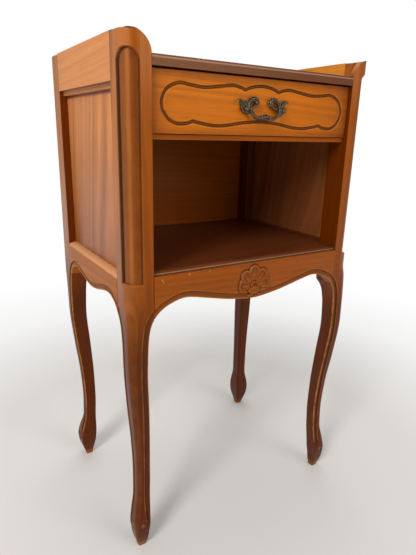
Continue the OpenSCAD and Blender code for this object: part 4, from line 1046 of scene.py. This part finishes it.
def shell_curls(x, up):
    """Two curls with their tails, at a height over the apron's edge."""
    curls = np.zeros_like(x)
    for side in (-1, 1):
        around = np.hypot(x - side * 5.2, up - 4.4)
        tail = np.hypot(x - side * 9.2, (up - 4.6) * 1.6)
        curls = np.maximum(curls, np.maximum(dome(around - 2.3, 1.2, 1.9), dome(tail, 3.0, 1.5)))
    return curls


def shell_relief(x, z):
    """Height of the whole carved shell over the apron's face."""
    up = z - APRON_LOW
    x = x + SHELL_ASIDE + SHELL_LEAN * up
    from_root, from_boss = up - SHELL_ROOT, up - SHELL_BOSS
    ground = -0.9 * (1 - ease(0.8, 1.05, np.hypot(x / 19, from_boss / 9)))
    relief = np.where(np.hypot(x, from_root) < 15, ground, 0)
    for form in (shell_lobes(x, from_root), shell_boss(x, from_boss), shell_bow(x, from_boss), shell_curls(x, up)):
        relief = np.maximum(relief, np.where(form > 0.02, form, NOWHERE))
    return relief


def blurred(field, times):
    """A grid of numbers, smoothed."""
    for _ in range(times):
        padded = np.pad(field, 1, mode="edge")
        field = (
            padded[1:-1, 1:-1] * 2 + padded[:-2, 1:-1] + padded[2:, 1:-1] + padded[1:-1, :-2] + padded[1:-1, 2:]
        ) / 6
    return field


def apron_rings(line, half, top, thick, sill, relief, carving, stations, rows):
    """Rings of an apron along its length, with dark and rubbed marks. Depth is measured from its face.

    line is the lower edge, sill the profile over the face as (depth, height), rows shares of the face's height.
    """
    arch_line = line[(line[:, 1] > LEG_TOP - 0.01) & (np.abs(line[:, 0]) < half + 0.5)]
    order = np.argsort(arch_line[:, 0])
    lows = np.interp(stations, arch_line[order, 0], arch_line[order, 1])
    z = lows[:, None] + rows[None, :] * (top - lows)[:, None]
    x = np.repeat(stations[:, None], len(rows), axis=1)
    gap = distance(np.stack([x, z], axis=-1), line)
    depth = moulding(gap, carving)
    dark = groove_mark(gap, carving)
    rub_and_highlight = rub_and_highlight_mark(gap, carving)
    if relief:
        height = relief(x, z)
        edge = np.where(gap < EDGE_R, depth, 0)
        keep = ease(SHELL_EDGE - 3, SHELL_EDGE + 1, np.abs(x))
        depth = np.maximum(depth * keep, edge)
        dark = dark * keep
        mask = 1 - ease(0.0, 1.2, 1.0 - gap)
        depth = depth - height * ease(0.3, 1.6, gap) * mask
        hollow = blurred(depth, 8)
        near = np.abs(x) < SHELL_HALF + 2
        dark = np.maximum(dark, np.clip((depth - hollow) * SHELL_DARK, 0, 1) * near)
        rub_and_highlight = np.maximum(rub_and_highlight, np.clip((hollow - depth) * SHELL_RUB, 0, 0.6) * near)
    count = len(stations)

    def strip(points):
        """The same points for every ring."""
        return np.repeat(np.array(points, float)[None, :, :], count, axis=0)

    face = np.stack([depth, z], axis=-1)
    closing = strip(sill + [(thick, top), (thick, 0)])
    closing[:, -1, 1] = lows + 1.0
    under = strip([(thick - 1.0, 0), (thick * 0.5, 0), (EDGE_R + 0.8, 0)])
    under[:, :, 1] = lows[:, None]
    ring = np.concatenate([face, closing, under], axis=1)
    zeros = np.zeros((count, ring.shape[1] - face.shape[1]))
    return ring, np.hstack([dark, zeros]), np.hstack([rub_and_highlight, zeros])


def rows_of(dense, dense_step, total, step):
    """Heights over a face from 0 to 1: closely spaced near its lower edge."""
    low = np.arange(0, dense, dense_step)
    high = np.linspace(dense, total, max(2, int((total - dense) / step)))
    return np.concatenate([low, high]) / total


def spread(values, ring):
    """One value for each ring, repeated for all its points."""
    return np.repeat(values[:, None], ring.shape[1], axis=1)


# Sill on the side aprons: its height, its profile as (depth, height over it), and the painted highlight, a pale band,
# on its nose
SILL_Z = APRON_TOP - 6.5
SILL = ((0.25, -0.6), (0.9, 0.35), (2.0, 1.3), (3.6, 2.4), (7.0, 3.3), (12.0, 4.0), (12.0, -5.0))
SILL_HIGHLIGHT = (427.6, 434.4, (0.80, 0.40, 0.20))


class CHEST_OT_aprons(bpy.types.Operator):
    """Front apron with its bead and carved shell, and the two side aprons with their sills"""

    bl_idname = "chest.aprons"
    bl_label = "Aprons"

    def execute(self, context):
        settings = context.scene.chest_carving, context.scene.chest_finish
        self.front(*settings)
        self.sides(*settings)
        return {"FINISHED"}

    @staticmethod
    def front(carving, finish):
        """The front apron, with more rings where its shell is."""
        half = SIDE_X - POST_W
        stations = np.concatenate([
            np.linspace(-half, -SHELL_HALF, 170), np.linspace(0.6 - SHELL_HALF, SHELL_HALF - 0.6, 160),
            np.linspace(SHELL_HALF, half, 170),
        ])
        ring, dark, rub_and_highlight = apron_rings(
            FRONT_EDGE, half, APRON_TOP - 0.8, APRON_T, [(0.3, APRON_TOP - 0.2), (1.2, APRON_TOP)],
            shell_relief, carving, stations, rows_of(12, 0.5, APRON_H, 0.62),
        )
        points = np.stack([spread(stations, ring), FRONT_Y + ring[..., 0], ring[..., 1]], axis=-1)
        glaze = np.maximum(0.42 * ease(0.1, 0.8, shell_relief(points[..., 0], points[..., 2])), 0.16)
        material = wood("front_apron_wood", tuple(finish.amber), "X", 107, "apron", chips=CHIPS["front_apron"])
        piece(
            "carved_front_apron", points.reshape(-1, 3), ring_faces(*ring.shape[:2]), material, "case",
            ("front_apron",), {"groove": dark.ravel(), "wear": rub_and_highlight.ravel(), "glaze": glaze.ravel()}, 40,
        )

    @staticmethod
    def sides(carving, finish):
        """Both side aprons with their sills."""
        half = SIDE_LEN / 2
        stations = np.linspace(-half, half, 260)
        sill = [(depth, SILL_Z + up) for depth, up in SILL]
        # The left apron, lit by the key light, is painted lighter and gets the painted highlight band on its sill's
        # nose; the right one keeps amber wood.
        for side, sign, tone, highlight_share in (("left", -1, finish.sand, 0.85), ("right", 1, finish.amber, 0.0)):
            ring, dark, rub_and_highlight = apron_rings(
                SIDE_EDGE, half, SILL_Z - 2.0, RAIL_T, sill, None, carving, stations, rows_of(12, 0.55, 42, 2.0)
            )
            ring[:, -5, 1] = sill[-1][1]
            across, along = sign * (SIDE_X - ring[..., 0]), spread(stations + SIDE_MID, ring)
            points = np.stack([across, along, ring[..., 1]], axis=-1)
            # Painted highlight on the rounded nose of the sill.
            rub_and_highlight[:, -12:-8] = 0.9
            material = wood(
                f"{side}_apron_wood", tuple(tone), "Y", 105 + sign, "apron", worn=0.9, shine=0.06,
                nose=(*SILL_HIGHLIGHT, highlight_share), chips=CHIPS.get(f"{side}_apron", ()),
            )
            piece(
                f"carved_{side}_apron", points.reshape(-1, 3), ring_faces(*ring.shape[:2]), material, "case",
                (f"{side}_apron",), {"groove": dark.ravel(), "wear": rub_and_highlight.ravel()}, 40,
            )


# ---------------------------------------------------------------- drawer front

# Right half of the cartouche's line, as shares of its half width and half height
CARTOUCHE = [
    (0, 1), (0.087, 0.95), (0.153, 0.855), (0.188, 0.772), (0.228, 0.85), (0.323, 0.931), (0.471, 0.824),
    (0.605, 0.739), (0.74, 0.797), (0.834, 0.854), (0.915, 0.72), (0.968, 0.49), (1, 0.107), (0.999, -0.237),
    (0.975, -0.506), (0.935, -0.755), (0.868, -0.916), (0.78, -0.908), (0.738, -0.842), (0.713, -0.79),
    (0.683, -0.825), (0.639, -0.87), (0.504, -0.965), (0.37, -0.927), (0.202, -0.782), (0, -0.697),
]
# Half height of the cartouche, its space to the drawer's ends, and the rounding of the drawer's edges
CARTOUCHE_H = 26.1
CARTOUCHE_END = 13.7
FRONT_SOFT = 1.2
EDGE_STEPS = np.array([0, 0.25, 0.7])
# Size of the darkened corners, along and up
CORNER_DARK = (34.0, 16.0)
DOVETAILS = 3


def prism(name, outline, x0, x1):
    """A cutter: an outline in y and z, drawn out along x."""
    n = len(outline)
    points = [(x, y, z) for x in (x0, x1) for y, z in outline]
    faces = [tuple(range(n)), tuple(range(2 * n - 1, n - 1, -1))]
    faces += [(i, (i + 1) % n, n + (i + 1) % n, n + i) for i in range(n)]
    return mesh_of(name, points, faces)


def spaced(low, high, count):
    """Places from low to high, with a few close to both ends, where the edge is rounded."""
    inner = np.linspace(low + 1.4, high - 1.4, count)
    return np.concatenate([low + EDGE_STEPS, inner, high - EDGE_STEPS[::-1]])


def front_relief(x, z, half, half_h, middle, carving):
    """Depth of the drawer front's cartouche line and softened edges, with its marks."""
    right = [(p[0] * (half - CARTOUCHE_END), middle + p[1] * CARTOUCHE_H) for p in CARTOUCHE]
    loop = loop_curve(right + [(-x, z) for x, z in reversed(right[1:-1])], 6)
    gap = distance(np.stack([x, z], axis=-1), loop, closed=True)
    reach = carving.cartouche_w / MM / 2
    deep = carving.cartouche_depth / MM
    cut = deep * np.interp(
        gap, [0, 0.22 * reach, 0.52 * reach, 0.72 * reach, reach, reach + 0.5], [0.50, 0.62, 1.08, 0.95, 0.12, 0]
    )
    edge_gap = np.minimum(half - np.abs(x), half_h - np.abs(z - middle))
    dark = np.interp(gap, [0, 0.2 * reach, 0.45 * reach, 0.75 * reach, 1.05 * reach], [0.55, 0.7, 1, 0.85, 0])
    # Painted highlight on the lit edge beside the cartouche line; the front's edges are worn pale.
    line_highlight = np.interp(gap, [reach, reach + 0.3, reach + 1.2], [0, 0.7, 0])
    rub_and_highlight = np.maximum(0.35 - 0.35 * ease(0.4, 1.5, edge_gap), line_highlight)
    # Darker corners, as a toned finish, and darker towards the right end.
    along = np.maximum(np.abs(x) - half + CORNER_DARK[0], 0) / CORNER_DARK[0]
    up = np.maximum(np.abs(z - middle) - half_h + CORNER_DARK[1], 0) / CORNER_DARK[1]
    glaze = np.clip(0.50 * np.hypot(along, up) ** 1.4, 0, 1) + 0.34 * ease(0.25 * half, half, x)
    return np.maximum(cut, rounded(edge_gap, FRONT_SOFT)), {"groove": dark, "wear": rub_and_highlight, "glaze": np.minimum(glaze, 1)}


class CHEST_OT_drawer_front(bpy.types.Operator):
    """Drawer front with its cartouche line and the sockets of its dovetails"""

    bl_idname = "chest.drawer_front"
    bl_label = "Drawer front"

    def execute(self, context):
        carving = context.scene.chest_carving
        finish = context.scene.chest_finish
        low, high = DRAWER_FRONT
        half, half_h = high.x, (high.z - low.z) / 2
        stations = spaced(-half, half, 400)
        rows = spaced(0, 2 * half_h, 88)
        x, z = np.meshgrid(stations, low.z + rows, indexing="ij")
        depth, marks = front_relief(x, z, half, half_h, (low.z + high.z) / 2, carving)
        thick = high.y - low.y
        back = np.array([[(thick * 0.5, high.z), (thick, high.z), (thick, low.z), (thick * 0.5, low.z)]])
        ring = np.concatenate([np.stack([depth, z], axis=-1), np.repeat(back, len(stations), axis=0)], axis=1)
        zeros = np.zeros((len(stations), 4))
        marks = {key: np.hstack([values, zeros]).ravel() for key, values in marks.items()}
        points = np.stack([spread(stations, ring), low.y + ring[..., 0], ring[..., 1]], axis=-1)
        front = piece(
            "carved_drawer_front", points.reshape(-1, 3), ring_faces(*ring.shape[:2]),
            wood("drawer_front_wood", tuple(finish.honey), "X", 124, "drawer"), "drawer",
            ("drawer_front",), marks, 40,
        )
        self.sockets(front, high)
        return {"FINISHED"}

    @staticmethod
    def sockets(front, high):
        """Cuts the dovetail sockets for the drawer's sides, at the ends of its back face."""
        side = box_mm("drawer_left_side")
        pitch = (side[1].z - side[0].z) / DOVETAILS
        tail = side[0].y
        root = high.y + 1
        for sign in (-1, 1):
            ends = sorted((sign * (high.x + 1), sign * (-side[1].x)))
            for k in range(DOVETAILS):
                z = side[0].z + (k + 0.5) * pitch
                outline = [
                    (root, z - 0.24 * pitch), (high.y, z - 0.24 * pitch), (tail, z - 0.38 * pitch),
                    (tail, z + 0.38 * pitch), (high.y, z + 0.24 * pitch), (root, z + 0.24 * pitch),
                ]
                cut_out(front, prism("dovetail_socket", outline, *ends))


def cut_out(thing, mesh):
    """Cuts a closed mesh out of a piece."""
    cutter = placed(mesh.name, mesh)
    cut = thing.modifiers.new("cut", "BOOLEAN")
    cut.operation = "DIFFERENCE"
    cut.solver = "EXACT"
    cut.object = cutter
    apply_modifiers(thing)
    bpy.data.objects.remove(cutter)


def apply_modifiers(thing):
    """Puts the result of an object's modifiers into its mesh."""
    graph = bpy.context.evaluated_depsgraph_get()
    done = bpy.data.meshes.new_from_object(thing.evaluated_get(graph))
    thing.modifiers.clear()
    thing.data = done


# ---------------------------------------------------------------- the remaining boards of the frame

# The left rail and left panel take the lighter pale wood, painted light on the side that faces the key light.
BOARDS = {
    "left_top_rail": ("lit_peach", "Y", 101), "right_top_rail": ("gold", "Y", 102),
    "left_side_panel": ("lit_peach", "Z", 103), "right_side_panel": ("rose", "Z", 104),
    "back_top_rail": ("amber", "X", 108), "back_bottom_rail": ("bare", "X", 109),
    "back_panel": ("amber", "X", 110), "top_board": ("brown", "X", 111), "niche_ceiling": ("amber", "X", 112),
    "niche_floor": ("brown", "X", 113), "left_floor_strip": ("brown", "Y", 114),
    "right_floor_strip": ("brown", "Y", 115), "left_drawer_guide": ("bare", "Y", 116),
    "right_drawer_guide": ("bare", "Y", 117), "left_kicker": ("bare", "Y", 118),
    "right_kicker": ("bare", "Y", 119), "drawer_stops": ("bare", "Y", 120),
    "left_floor_cleat": ("bare", "Y", 121), "right_floor_cleat": ("bare", "Y", 122),
    "glue_blocks": ("bare", "X", 123),
    "drawer_left_side": ("bare", "Y", 125), "drawer_right_side": ("bare", "Y", 126),
    "drawer_back": ("bare", "X", 127), "drawer_bottom": ("bare", "X", 128),
}
# Painted shade on panels and top rails, as (height, share): towards their foot, and painted shadow under the rail and
# its step
PANEL_SHADE = ((430.0, 0.88), (540.0, 0.55), (620.0, 0.24), (657.5, 0.22), (660.5, 1.0))
DIM_SHADE = ((430.0, 0.65), (600.0, 0.50), (640.0, 0.2), (657.5, 0.2), (660.5, 1.0))
RAIL_LOW = box_mm("left_top_rail")[0].z
RAIL_SHADE = (
    (RAIL_LOW - 1, 0.35), (RAIL_LOW + 5.8, 0.35), (RAIL_LOW + 6.0, 0.95), (RAIL_LOW + 6.7, 0.95), (RAIL_LOW + 7.1, 0.0)
)
SHADES = {
    "left_side_panel": PANEL_SHADE, "right_side_panel": DIM_SHADE, "left_top_rail": RAIL_SHADE,
    "right_top_rail": RAIL_SHADE, "back_top_rail": RAIL_SHADE,
}
# Painted highlight along a board's rounded front edge, a pale line: from and to height, colour and share
NOSE_HIGHLIGHTS = {
    "top_board": (694.2, 696.7, (0.36, 0.20, 0.13), 0.8),
    "niche_floor": (436.4, 438.2, (0.30, 0.20, 0.13), 0.75),
}
# Width of the softened edges, in millimetres
SOFTENED = {
    "left_top_rail": 0.7, "right_top_rail": 0.7, "back_top_rail": 0.7, "niche_ceiling": 0.5, "niche_floor": 0.4,
    "left_floor_strip": 0.5, "right_floor_strip": 0.5,
}


def dressed(node, material):
    """A node of the frame keeps its shape and gets a material."""
    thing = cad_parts[node]
    thing.data.materials.clear()
    thing.data.materials.append(material)
    return thing


class CHEST_OT_boards(bpy.types.Operator):
    """Wood for the boards, rails and panels that keep the frame's own shapes"""

    bl_idname = "chest.boards"
    bl_label = "Boards and rails"

    def execute(self, context):
        finish = context.scene.chest_finish
        for node, (tone, grain, seed) in BOARDS.items():
            thing = dressed(node, wood(
                node + "_wood", tuple(getattr(finish, tone)), grain, seed,
                "panel" if node.endswith("side_panel") else "board", varnish=tone != "bare",
                shine=0.5 if node == "top_board" else 0.2, shade=SHADES.get(node), nose=NOSE_HIGHLIGHTS.get(node),
                chips=CHIPS.get(node, ()),
            ))
            if node in SOFTENED:
                weld = thing.modifiers.new("weld", "WELD")
                weld.merge_threshold = WELD
                soften = thing.modifiers.new("soften", "BEVEL")
                soften.width = SOFTENED[node] * MM
                soften.segments = 2
                soften.limit_method = "ANGLE"
                soften.angle_limit = math.radians(50)
        return {"FINISHED"}


# ---------------------------------------------------------------- handle

FACE_Y = DRAWER_FRONT[0].y
# Pins on which the bail turns, in millimetres: height, distance before the drawer's face, radius of their holes
PIN_Z = 645.0
PIN_OUT = 8.5
BORE_R = 1.66
# Lugs on the drawer's face, their radii from the face out to the pin, and the turn of the right one's leaves
LUG_X = 31.6
LUG_RADII = (4.2, 3.8, 3.4, 3.2, 3.1, 3.1, 3.1, 3.1)
LEAF_TURN = 0.2
# Bail: place of its arms, radius of its bends, rise of its bow, and how much narrower it is below the pins
ARM_X = 24.4
BEND_R = 10.5
BOW_RISE = 1.2
NARROWED = 0.09
BAIL_ACROSS = (0, 7, 9, 13, 20, 24.5)
BAIL_RADII = (2.4, 2.4, 2.5, 2.3, 2.2, 2.5)
BAIL_BEADS = ((6.3, 3.4, 0.8), (8.3, 3.0, 0.6))
COLLAR_HALF = 5.0
COLLAR_R = 3.95
FLUTES = 5
FLUTE_DEPTH = 0.09
# Grain of the castings' melted meshes, in millimetres
ROSETTE_VOXEL = 0.28
BAIL_VOXEL = 0.26


def tube(path, radii, flutes=0, sides=16):
    """A rounded rod along a path in millimetres, smooth or fluted."""
    path = np.array(path, float)
    radii = np.broadcast_to(np.asarray(radii, float), (len(path),))
    run = np.gradient(path, axis=0)
    run /= np.linalg.norm(run, axis=1)[:, None]
    depth = np.where(np.abs(run[:, 1:2]) > 0.9, [[0.0, 0.0, 1.0]], [[0.0, 1.0, 0.0]])
    over = np.cross(run, depth)
    over /= np.linalg.norm(over, axis=1)[:, None]
    depth = np.cross(over, run)
    turn = np.linspace(0, 2 * math.pi, sides, endpoint=False)
    size = radii[:, None] * (1 + FLUTE_DEPTH * (np.cos(flutes * turn) if flutes else 0 * turn))[None, :]
    rings = (
        path[:, None, :] + over[:, None, :] * (size * np.cos(turn))[..., None]
        + depth[:, None, :] * (size * np.sin(turn))[..., None]
    )
    return rings.reshape(-1, 3), ring_faces(len(path), sides)


def ball(place, radius):
    """A ball, as a short rod with round ends."""
    turn = np.linspace(-math.pi / 2 + 0.12, math.pi / 2 - 0.12, 13)
    path = np.array(place, float) + np.outer(radius * np.sin(turn), (1.0, 0.0, 0.0))
    return tube(path, radius * np.cos(turn))


def finger(points, radii, heights):
    """A leaf or scroll: a smooth rod through points (x, z) at heights over the drawer's face, with a ridge."""
    line = curve([(*point, size, up) for point, size, up in zip(points, radii, heights)], 6)
    path = np.column_stack([line[:, 0], FACE_Y - line[:, 3], line[:, 1]])
    return tube(path, np.maximum(line[:, 2], 0.3), FLUTES, 24)


def cast(name, rods, voxel, material, body, node, bore=None):
    """Rods melted together into one casting that rides on a body."""
    points, faces, start = [], [], 0
    for rod_points, rod_faces in rods:
        points.append(rod_points)
        faces += [tuple(start + i for i in face) for face in rod_faces]
        start += len(rod_points)
    thing = piece(name, np.vstack(points), faces, material, body, (node,))
    melt = thing.modifiers.new("melt", "REMESH")
    melt.mode = "VOXEL"
    melt.voxel_size = voxel * MM
    smooth = thing.modifiers.new("smooth", "SMOOTH")
    smooth.factor = 0.5
    smooth.iterations = 3
    apply_modifiers(thing)
    if bore is not None:
        cut_out(thing, mesh_of("pin_bore", *bore))
    smooth_shaded(thing.data)
    return thing


# Left half of the handle: leaves and the scroll over the lug, as points (x, z), their radii and heights
LEAVES = (
    (((-43.8, 652.4), (-42.4, 654.6), (-39.4, 655.6), (-36, 654.6), (-33.4, 651.8), (-31.8, 648.2), (-29.6, 644.6),
      (-26.8, 642), (-24, 640.6)), (1.0, 1.3, 1.7, 2.2, 2.9, 3.5, 3.8, 3.2, 2.2),
     (4.8, 4.4, 3.6, 3.0, 3.2, 3.8, 4.4, 5.0, 5.6)),
    (((-30.6, 656.6), (-30.2, 653.4), (-29, 649.6), (-27.4, 646)), (0.9, 1.7, 2.4, 2.8), (1.8, 2.8, 3.8, 4.8)),
    (((-34.6, 648.4), (-32.6, 644.6), (-29.4, 641.6), (-26, 640)), (2.6, 3.3, 3.0, 2.2), (2.4, 2.6, 3.0, 3.6)),
)
SCROLL = (
    ((-26.2, 644.6), (-26.2, 648.6), (-24.8, 652.8), (-21.2, 656.6), (-16.6, 657.8), (-12.6, 656.8), (-10.6, 654.2),
     (-11.6, 651.2), (-14.6, 648.8), (-18.2, 647.2), (-21.4, 646.4)),
    (3.0, 2.7, 2.4, 2.4, 2.7, 2.9, 2.7, 2.2, 1.8, 1.6, 1.7),
    (5.4, 5.0, 4.4, 3.8, 3.4, 3.2, 3.2, 3.2, 3.2, 3.4, 3.6),
)
# Balls on the castings, as points (x, z), the height of their middles over the drawer's face, and their radius
LEAF_BUMPS = (((-35.8, 651.4), (-35.2, 648), (-33.6, 644.8), (-31.2, 642)), 2.2, 1.7)
SCROLL_END = (((-12.6, 653.6),), 4.4, 2.3)
SCROLL_BEADS = (
    ((-27.4, 652.4), (-25.4, 656.2), (-22, 659), (-17.8, 660.4), (-13.7, 660), (-10.2, 658), (-8.1, 654.8),
     (-9.2, 651.2)), 3.4, 1.25,
)


def balls(places, height, radius):
    """Balls of one size on the drawer's face."""
    return [ball((x, FACE_Y - height, z), radius) for x, z in places]


def mirrored(rod):
    """The same rod on the other side of the handle."""
    points, faces = rod
    return points * (-1.0, 1.0, 1.0), [tuple(reversed(face)) for face in faces]


def turned(rod, angle):
    """The rod turned about the right lug in the plane of the drawer's face."""
    points, faces = rod
    x, y, z = (points - (LUG_X, 0, PIN_Z)).T
    turned_x = x * math.cos(angle) - z * math.sin(angle)
    turned_z = x * math.sin(angle) + z * math.cos(angle)
    return np.column_stack([turned_x + LUG_X, y, turned_z + PIN_Z]), faces


class CHEST_OT_handle(bpy.types.Operator):
    """Cast handle: two leafy rosettes with scrolls and lugs, and a bowed bail with a collar"""

    bl_idname = "chest.handle"
    bl_label = "Handle"

    def execute(self, context):
        pin_y = FACE_Y - PIN_OUT
        self.rosettes(pin_y)
        self.bail(pin_y)
        return {"FINISHED"}

    @staticmethod
    def rosettes(pin_y):
        """Both castings on the drawer: leaves, a scroll, and the lug with its stud."""
        stud_end = box_mm("left_rosette")[1].y
        lug = [
            tube([(-LUG_X, y, PIN_Z) for y in np.linspace(FACE_Y - 0.6, pin_y, len(LUG_RADII))], LUG_RADII),
            ball((-LUG_X, pin_y, PIN_Z), 3.2),
            tube([(-LUG_X, y, PIN_Z) for y in (FACE_Y - 1, FACE_Y + 5, stud_end)], 2.0),
        ]
        leaf = [finger(*leaf) for leaf in LEAVES] + balls(*LEAF_BUMPS)
        scroll = [finger(*SCROLL), *balls(*SCROLL_END), *balls(*SCROLL_BEADS)]
        bore = tube([(-LUG_X - 1.2, pin_y, PIN_Z), (-LUG_X + 18.8, pin_y, PIN_Z)], BORE_R)
        right = [mirrored(rod) for rod in lug + scroll] + [turned(mirrored(rod), LEAF_TURN) for rod in leaf]
        for side, rods, hole, seed in (("left", lug + leaf + scroll, bore, 1), ("right", right, mirrored(bore), 2)):
            material = bronze(f"{side}_rosette_bronze", seed)
            cast(f"cast_{side}_rosette", rods, ROSETTE_VOXEL, material, "drawer", f"{side}_rosette", hole)

    @staticmethod
    def bail(pin_y):
        """The bail: a bowed rod with beads, a fluted collar, and pins at its arms."""
        bow_half = ARM_X - BEND_R
        bow_turn = 2 * math.atan(BOW_RISE / bow_half)
        bow_r = bow_half / math.sin(bow_turn) - BEND_R
        low = PIN_Z - 0.5
        bend = [
            (-bow_half - BEND_R * math.cos(t), low - BEND_R * math.sin(t))
            for t in np.linspace(0, math.pi / 2 + bow_turn, 22)
        ]
        middle_z = low - BEND_R + BOW_RISE
        bow = [
            (-bow_r * math.sin(t), middle_z - bow_r + bow_r * math.cos(t))
            for t in np.linspace(bow_turn, 0, 40)[1:]
        ]
        left = np.array([(-ARM_X, PIN_Z)] + bend + bow)
        line = np.vstack([left, left[::-1][1:] * (-1, 1)])
        line[:, 0] *= 1 - NARROWED * ease(1, 8, PIN_Z - line[:, 1])
        across = np.abs(line[:, 0])
        radius = np.interp(across, BAIL_ACROSS, BAIL_RADII)
        for bead_x, bead_r, wide in BAIL_BEADS:
            radius = np.maximum(radius, bead_r - 1.2 * np.abs(across - bead_x) / wide)
        path = np.column_stack([line[:, 0], np.full(len(line), pin_y), line[:, 1]])
        t = np.linspace(-0.985, 0.985, 25)
        collar_path = np.column_stack([COLLAR_HALF * t, np.full(25, pin_y), np.full(25, middle_z)])
        collar_radii = np.maximum(COLLAR_R * (1 - np.abs(t) ** 3) ** 0.6, 1.5)
        rods = [tube(path, radius), tube(collar_path, collar_radii, FLUTES, 40)]
        for sign in (-1, 1):
            rods += [
                ball((sign * ARM_X, pin_y, PIN_Z), 2.9),
                tube([(sign * x, pin_y, PIN_Z) for x in (ARM_X - 1, 28, LUG_X + 0.8)], 1.6),
            ]
        cast("cast_bail", rods, BAIL_VOXEL, bronze("bail_bronze", 3), "bail", "handle_bail")


class CHEST_OT_fasteners(bpy.types.Operator):
    """Steel for screws, pins and nuts"""

    bl_idname = "chest.fasteners"
    bl_label = "Fasteners"

    def execute(self, context):
        for node in ("cleat_screws", "kicker_screws", "panel_pins", "handle_nuts"):
            dressed(node, steel(node + "_steel"))
        return {"FINISHED"}


# ---------------------------------------------------------------- stage

# Lamps: name, place, what they point at, width and height in metres, power in watts, and colour
LAMPS = (
    ("key", (-1.9, -1.2, 1.9), (0.0, 0.0, 0.45), (0.7, 1.5), 38.0, (1.0, 0.97, 0.92)),
    ("fill", (0.9, -2.5, 1.5), (0.0, 0.0, 0.4), (1.6, 1.6), 20.0, (1.0, 0.96, 0.9)),
    ("over", (0.3, 0.8, 2.6), (0.0, 0.0, 0.5), (1.6, 1.6), 14.0, (1.0, 1.0, 1.0)),
)
FLOOR_TONE = (0.82, 0.81, 0.80)
AMBIENT_TONE = (1.0, 0.985, 0.96)
AMBIENT_POWER = 0.42
LENS_SHIFT = (0.0025, -0.0031)


class CHEST_OT_stage(bpy.types.Operator):
    """Pale floor, soft lamps, white background and the camera"""

    bl_idname = "chest.stage"
    bl_label = "Stage"

    def execute(self, context):
        scene = context.scene
        scene.view_settings.view_transform = "Standard"
        bpy.ops.mesh.primitive_plane_add(size=12, location=(0, 0, 0))
        floor = context.object
        floor.name = "floor"
        floor.data.materials.append(stage_paint("floor_paint", FLOOR_TONE))
        graph = Graph(bpy.data.worlds.new("studio"))
        scene.world = graph.owner
        camera_ray = graph.node("ShaderNodeLightPath")
        soft = graph.node("ShaderNodeBackground", None, {"Color": AMBIENT_TONE, "Strength": AMBIENT_POWER})
        white = graph.node("ShaderNodeBackground", None, {"Color": (1.0, 1.0, 1.0)})
        graph.surface(graph.node("ShaderNodeMixShader", None, {0: camera_ray, 1: soft, 2: white}))
        for lamp in LAMPS:
            self.lamp(*lamp)
        self.camera(scene, scene.chest_stage)
        return {"FINISHED"}

    @staticmethod
    def camera(scene, settings):
        """The camera that sees the chest as the photo does."""
        a, e, roll = settings.azimuth, settings.elevation, settings.roll
        ahead = Vector((-math.sin(a) * math.cos(e), math.cos(a) * math.cos(e), math.sin(e)))
        right = Vector((math.cos(a), math.sin(a), 0))
        up = right.cross(ahead)
        across = math.cos(roll) * right + math.sin(roll) * up
        over = -math.sin(roll) * right + math.cos(roll) * up
        data = bpy.data.cameras.new("photo_view")
        data.sensor_fit = "HORIZONTAL"
        data.sensor_width = 36.0
        data.lens = settings.lens
        data.shift_x, data.shift_y = LENS_SHIFT
        camera = placed("photo_view", data)
        turn = Matrix((across, over, -ahead)).transposed()
        camera.matrix_world = Matrix.Translation(settings.place) @ turn.to_4x4()
        scene.camera = camera

    @staticmethod
    def lamp(name, place, target, size, power, tone):
        """A soft lamp that points at a place."""
        data = bpy.data.lights.new(name, "AREA")
        data.shape = "RECTANGLE"
        data.size, data.size_y = size
        data.energy = power
        data.color = tone
        thing = placed(name, data)
        thing.location = place
        thing.rotation_euler = (Vector(target) - Vector(place)).to_track_quat("-Z", "Y").to_euler()


OPERATORS = (
    CHEST_OT_legs, CHEST_OT_aprons, CHEST_OT_drawer_front, CHEST_OT_boards, CHEST_OT_handle, CHEST_OT_fasteners,
    CHEST_OT_stage,
)


class CHEST_PT_panel(bpy.types.Panel):
    """Lists the steps that dress the chest"""

    bl_label = "Bedside chest"
    bl_idname = "CHEST_PT_panel"
    bl_space_type = "VIEW_3D"
    bl_region_type = "UI"
    bl_category = "Chest"

    def draw(self, context):
        for operator in OPERATORS:
            self.layout.operator(operator.bl_idname)


GROUPS = {"chest_carving": ChestCarving, "chest_finish": ChestFinish, "chest_stage": ChestStage}


def register():
    """Adds the settings to every scene, and the operators and the panel to Blender."""
    for group in GROUPS.values():
        bpy.utils.register_class(group)
    for name, group in GROUPS.items():
        setattr(bpy.types.Scene, name, bpy.props.PointerProperty(type=group))
    for item in (*OPERATORS, CHEST_PT_panel):
        bpy.utils.register_class(item)


def unregister():
    """Removes the settings, the operators and the panel."""
    for item in (*OPERATORS, CHEST_PT_panel):
        bpy.utils.unregister_class(item)
    for name, group in GROUPS.items():
        delattr(bpy.types.Scene, name)
        bpy.utils.unregister_class(group)


def main():
    """Dresses the chest."""
    register()
    bpy.ops.chest.legs()
    bpy.ops.chest.aprons()
    bpy.ops.chest.drawer_front()
    bpy.ops.chest.boards()
    bpy.ops.chest.handle()
    bpy.ops.chest.fasteners()
    bpy.ops.chest.stage()


if __name__ == "__main__":
    main()
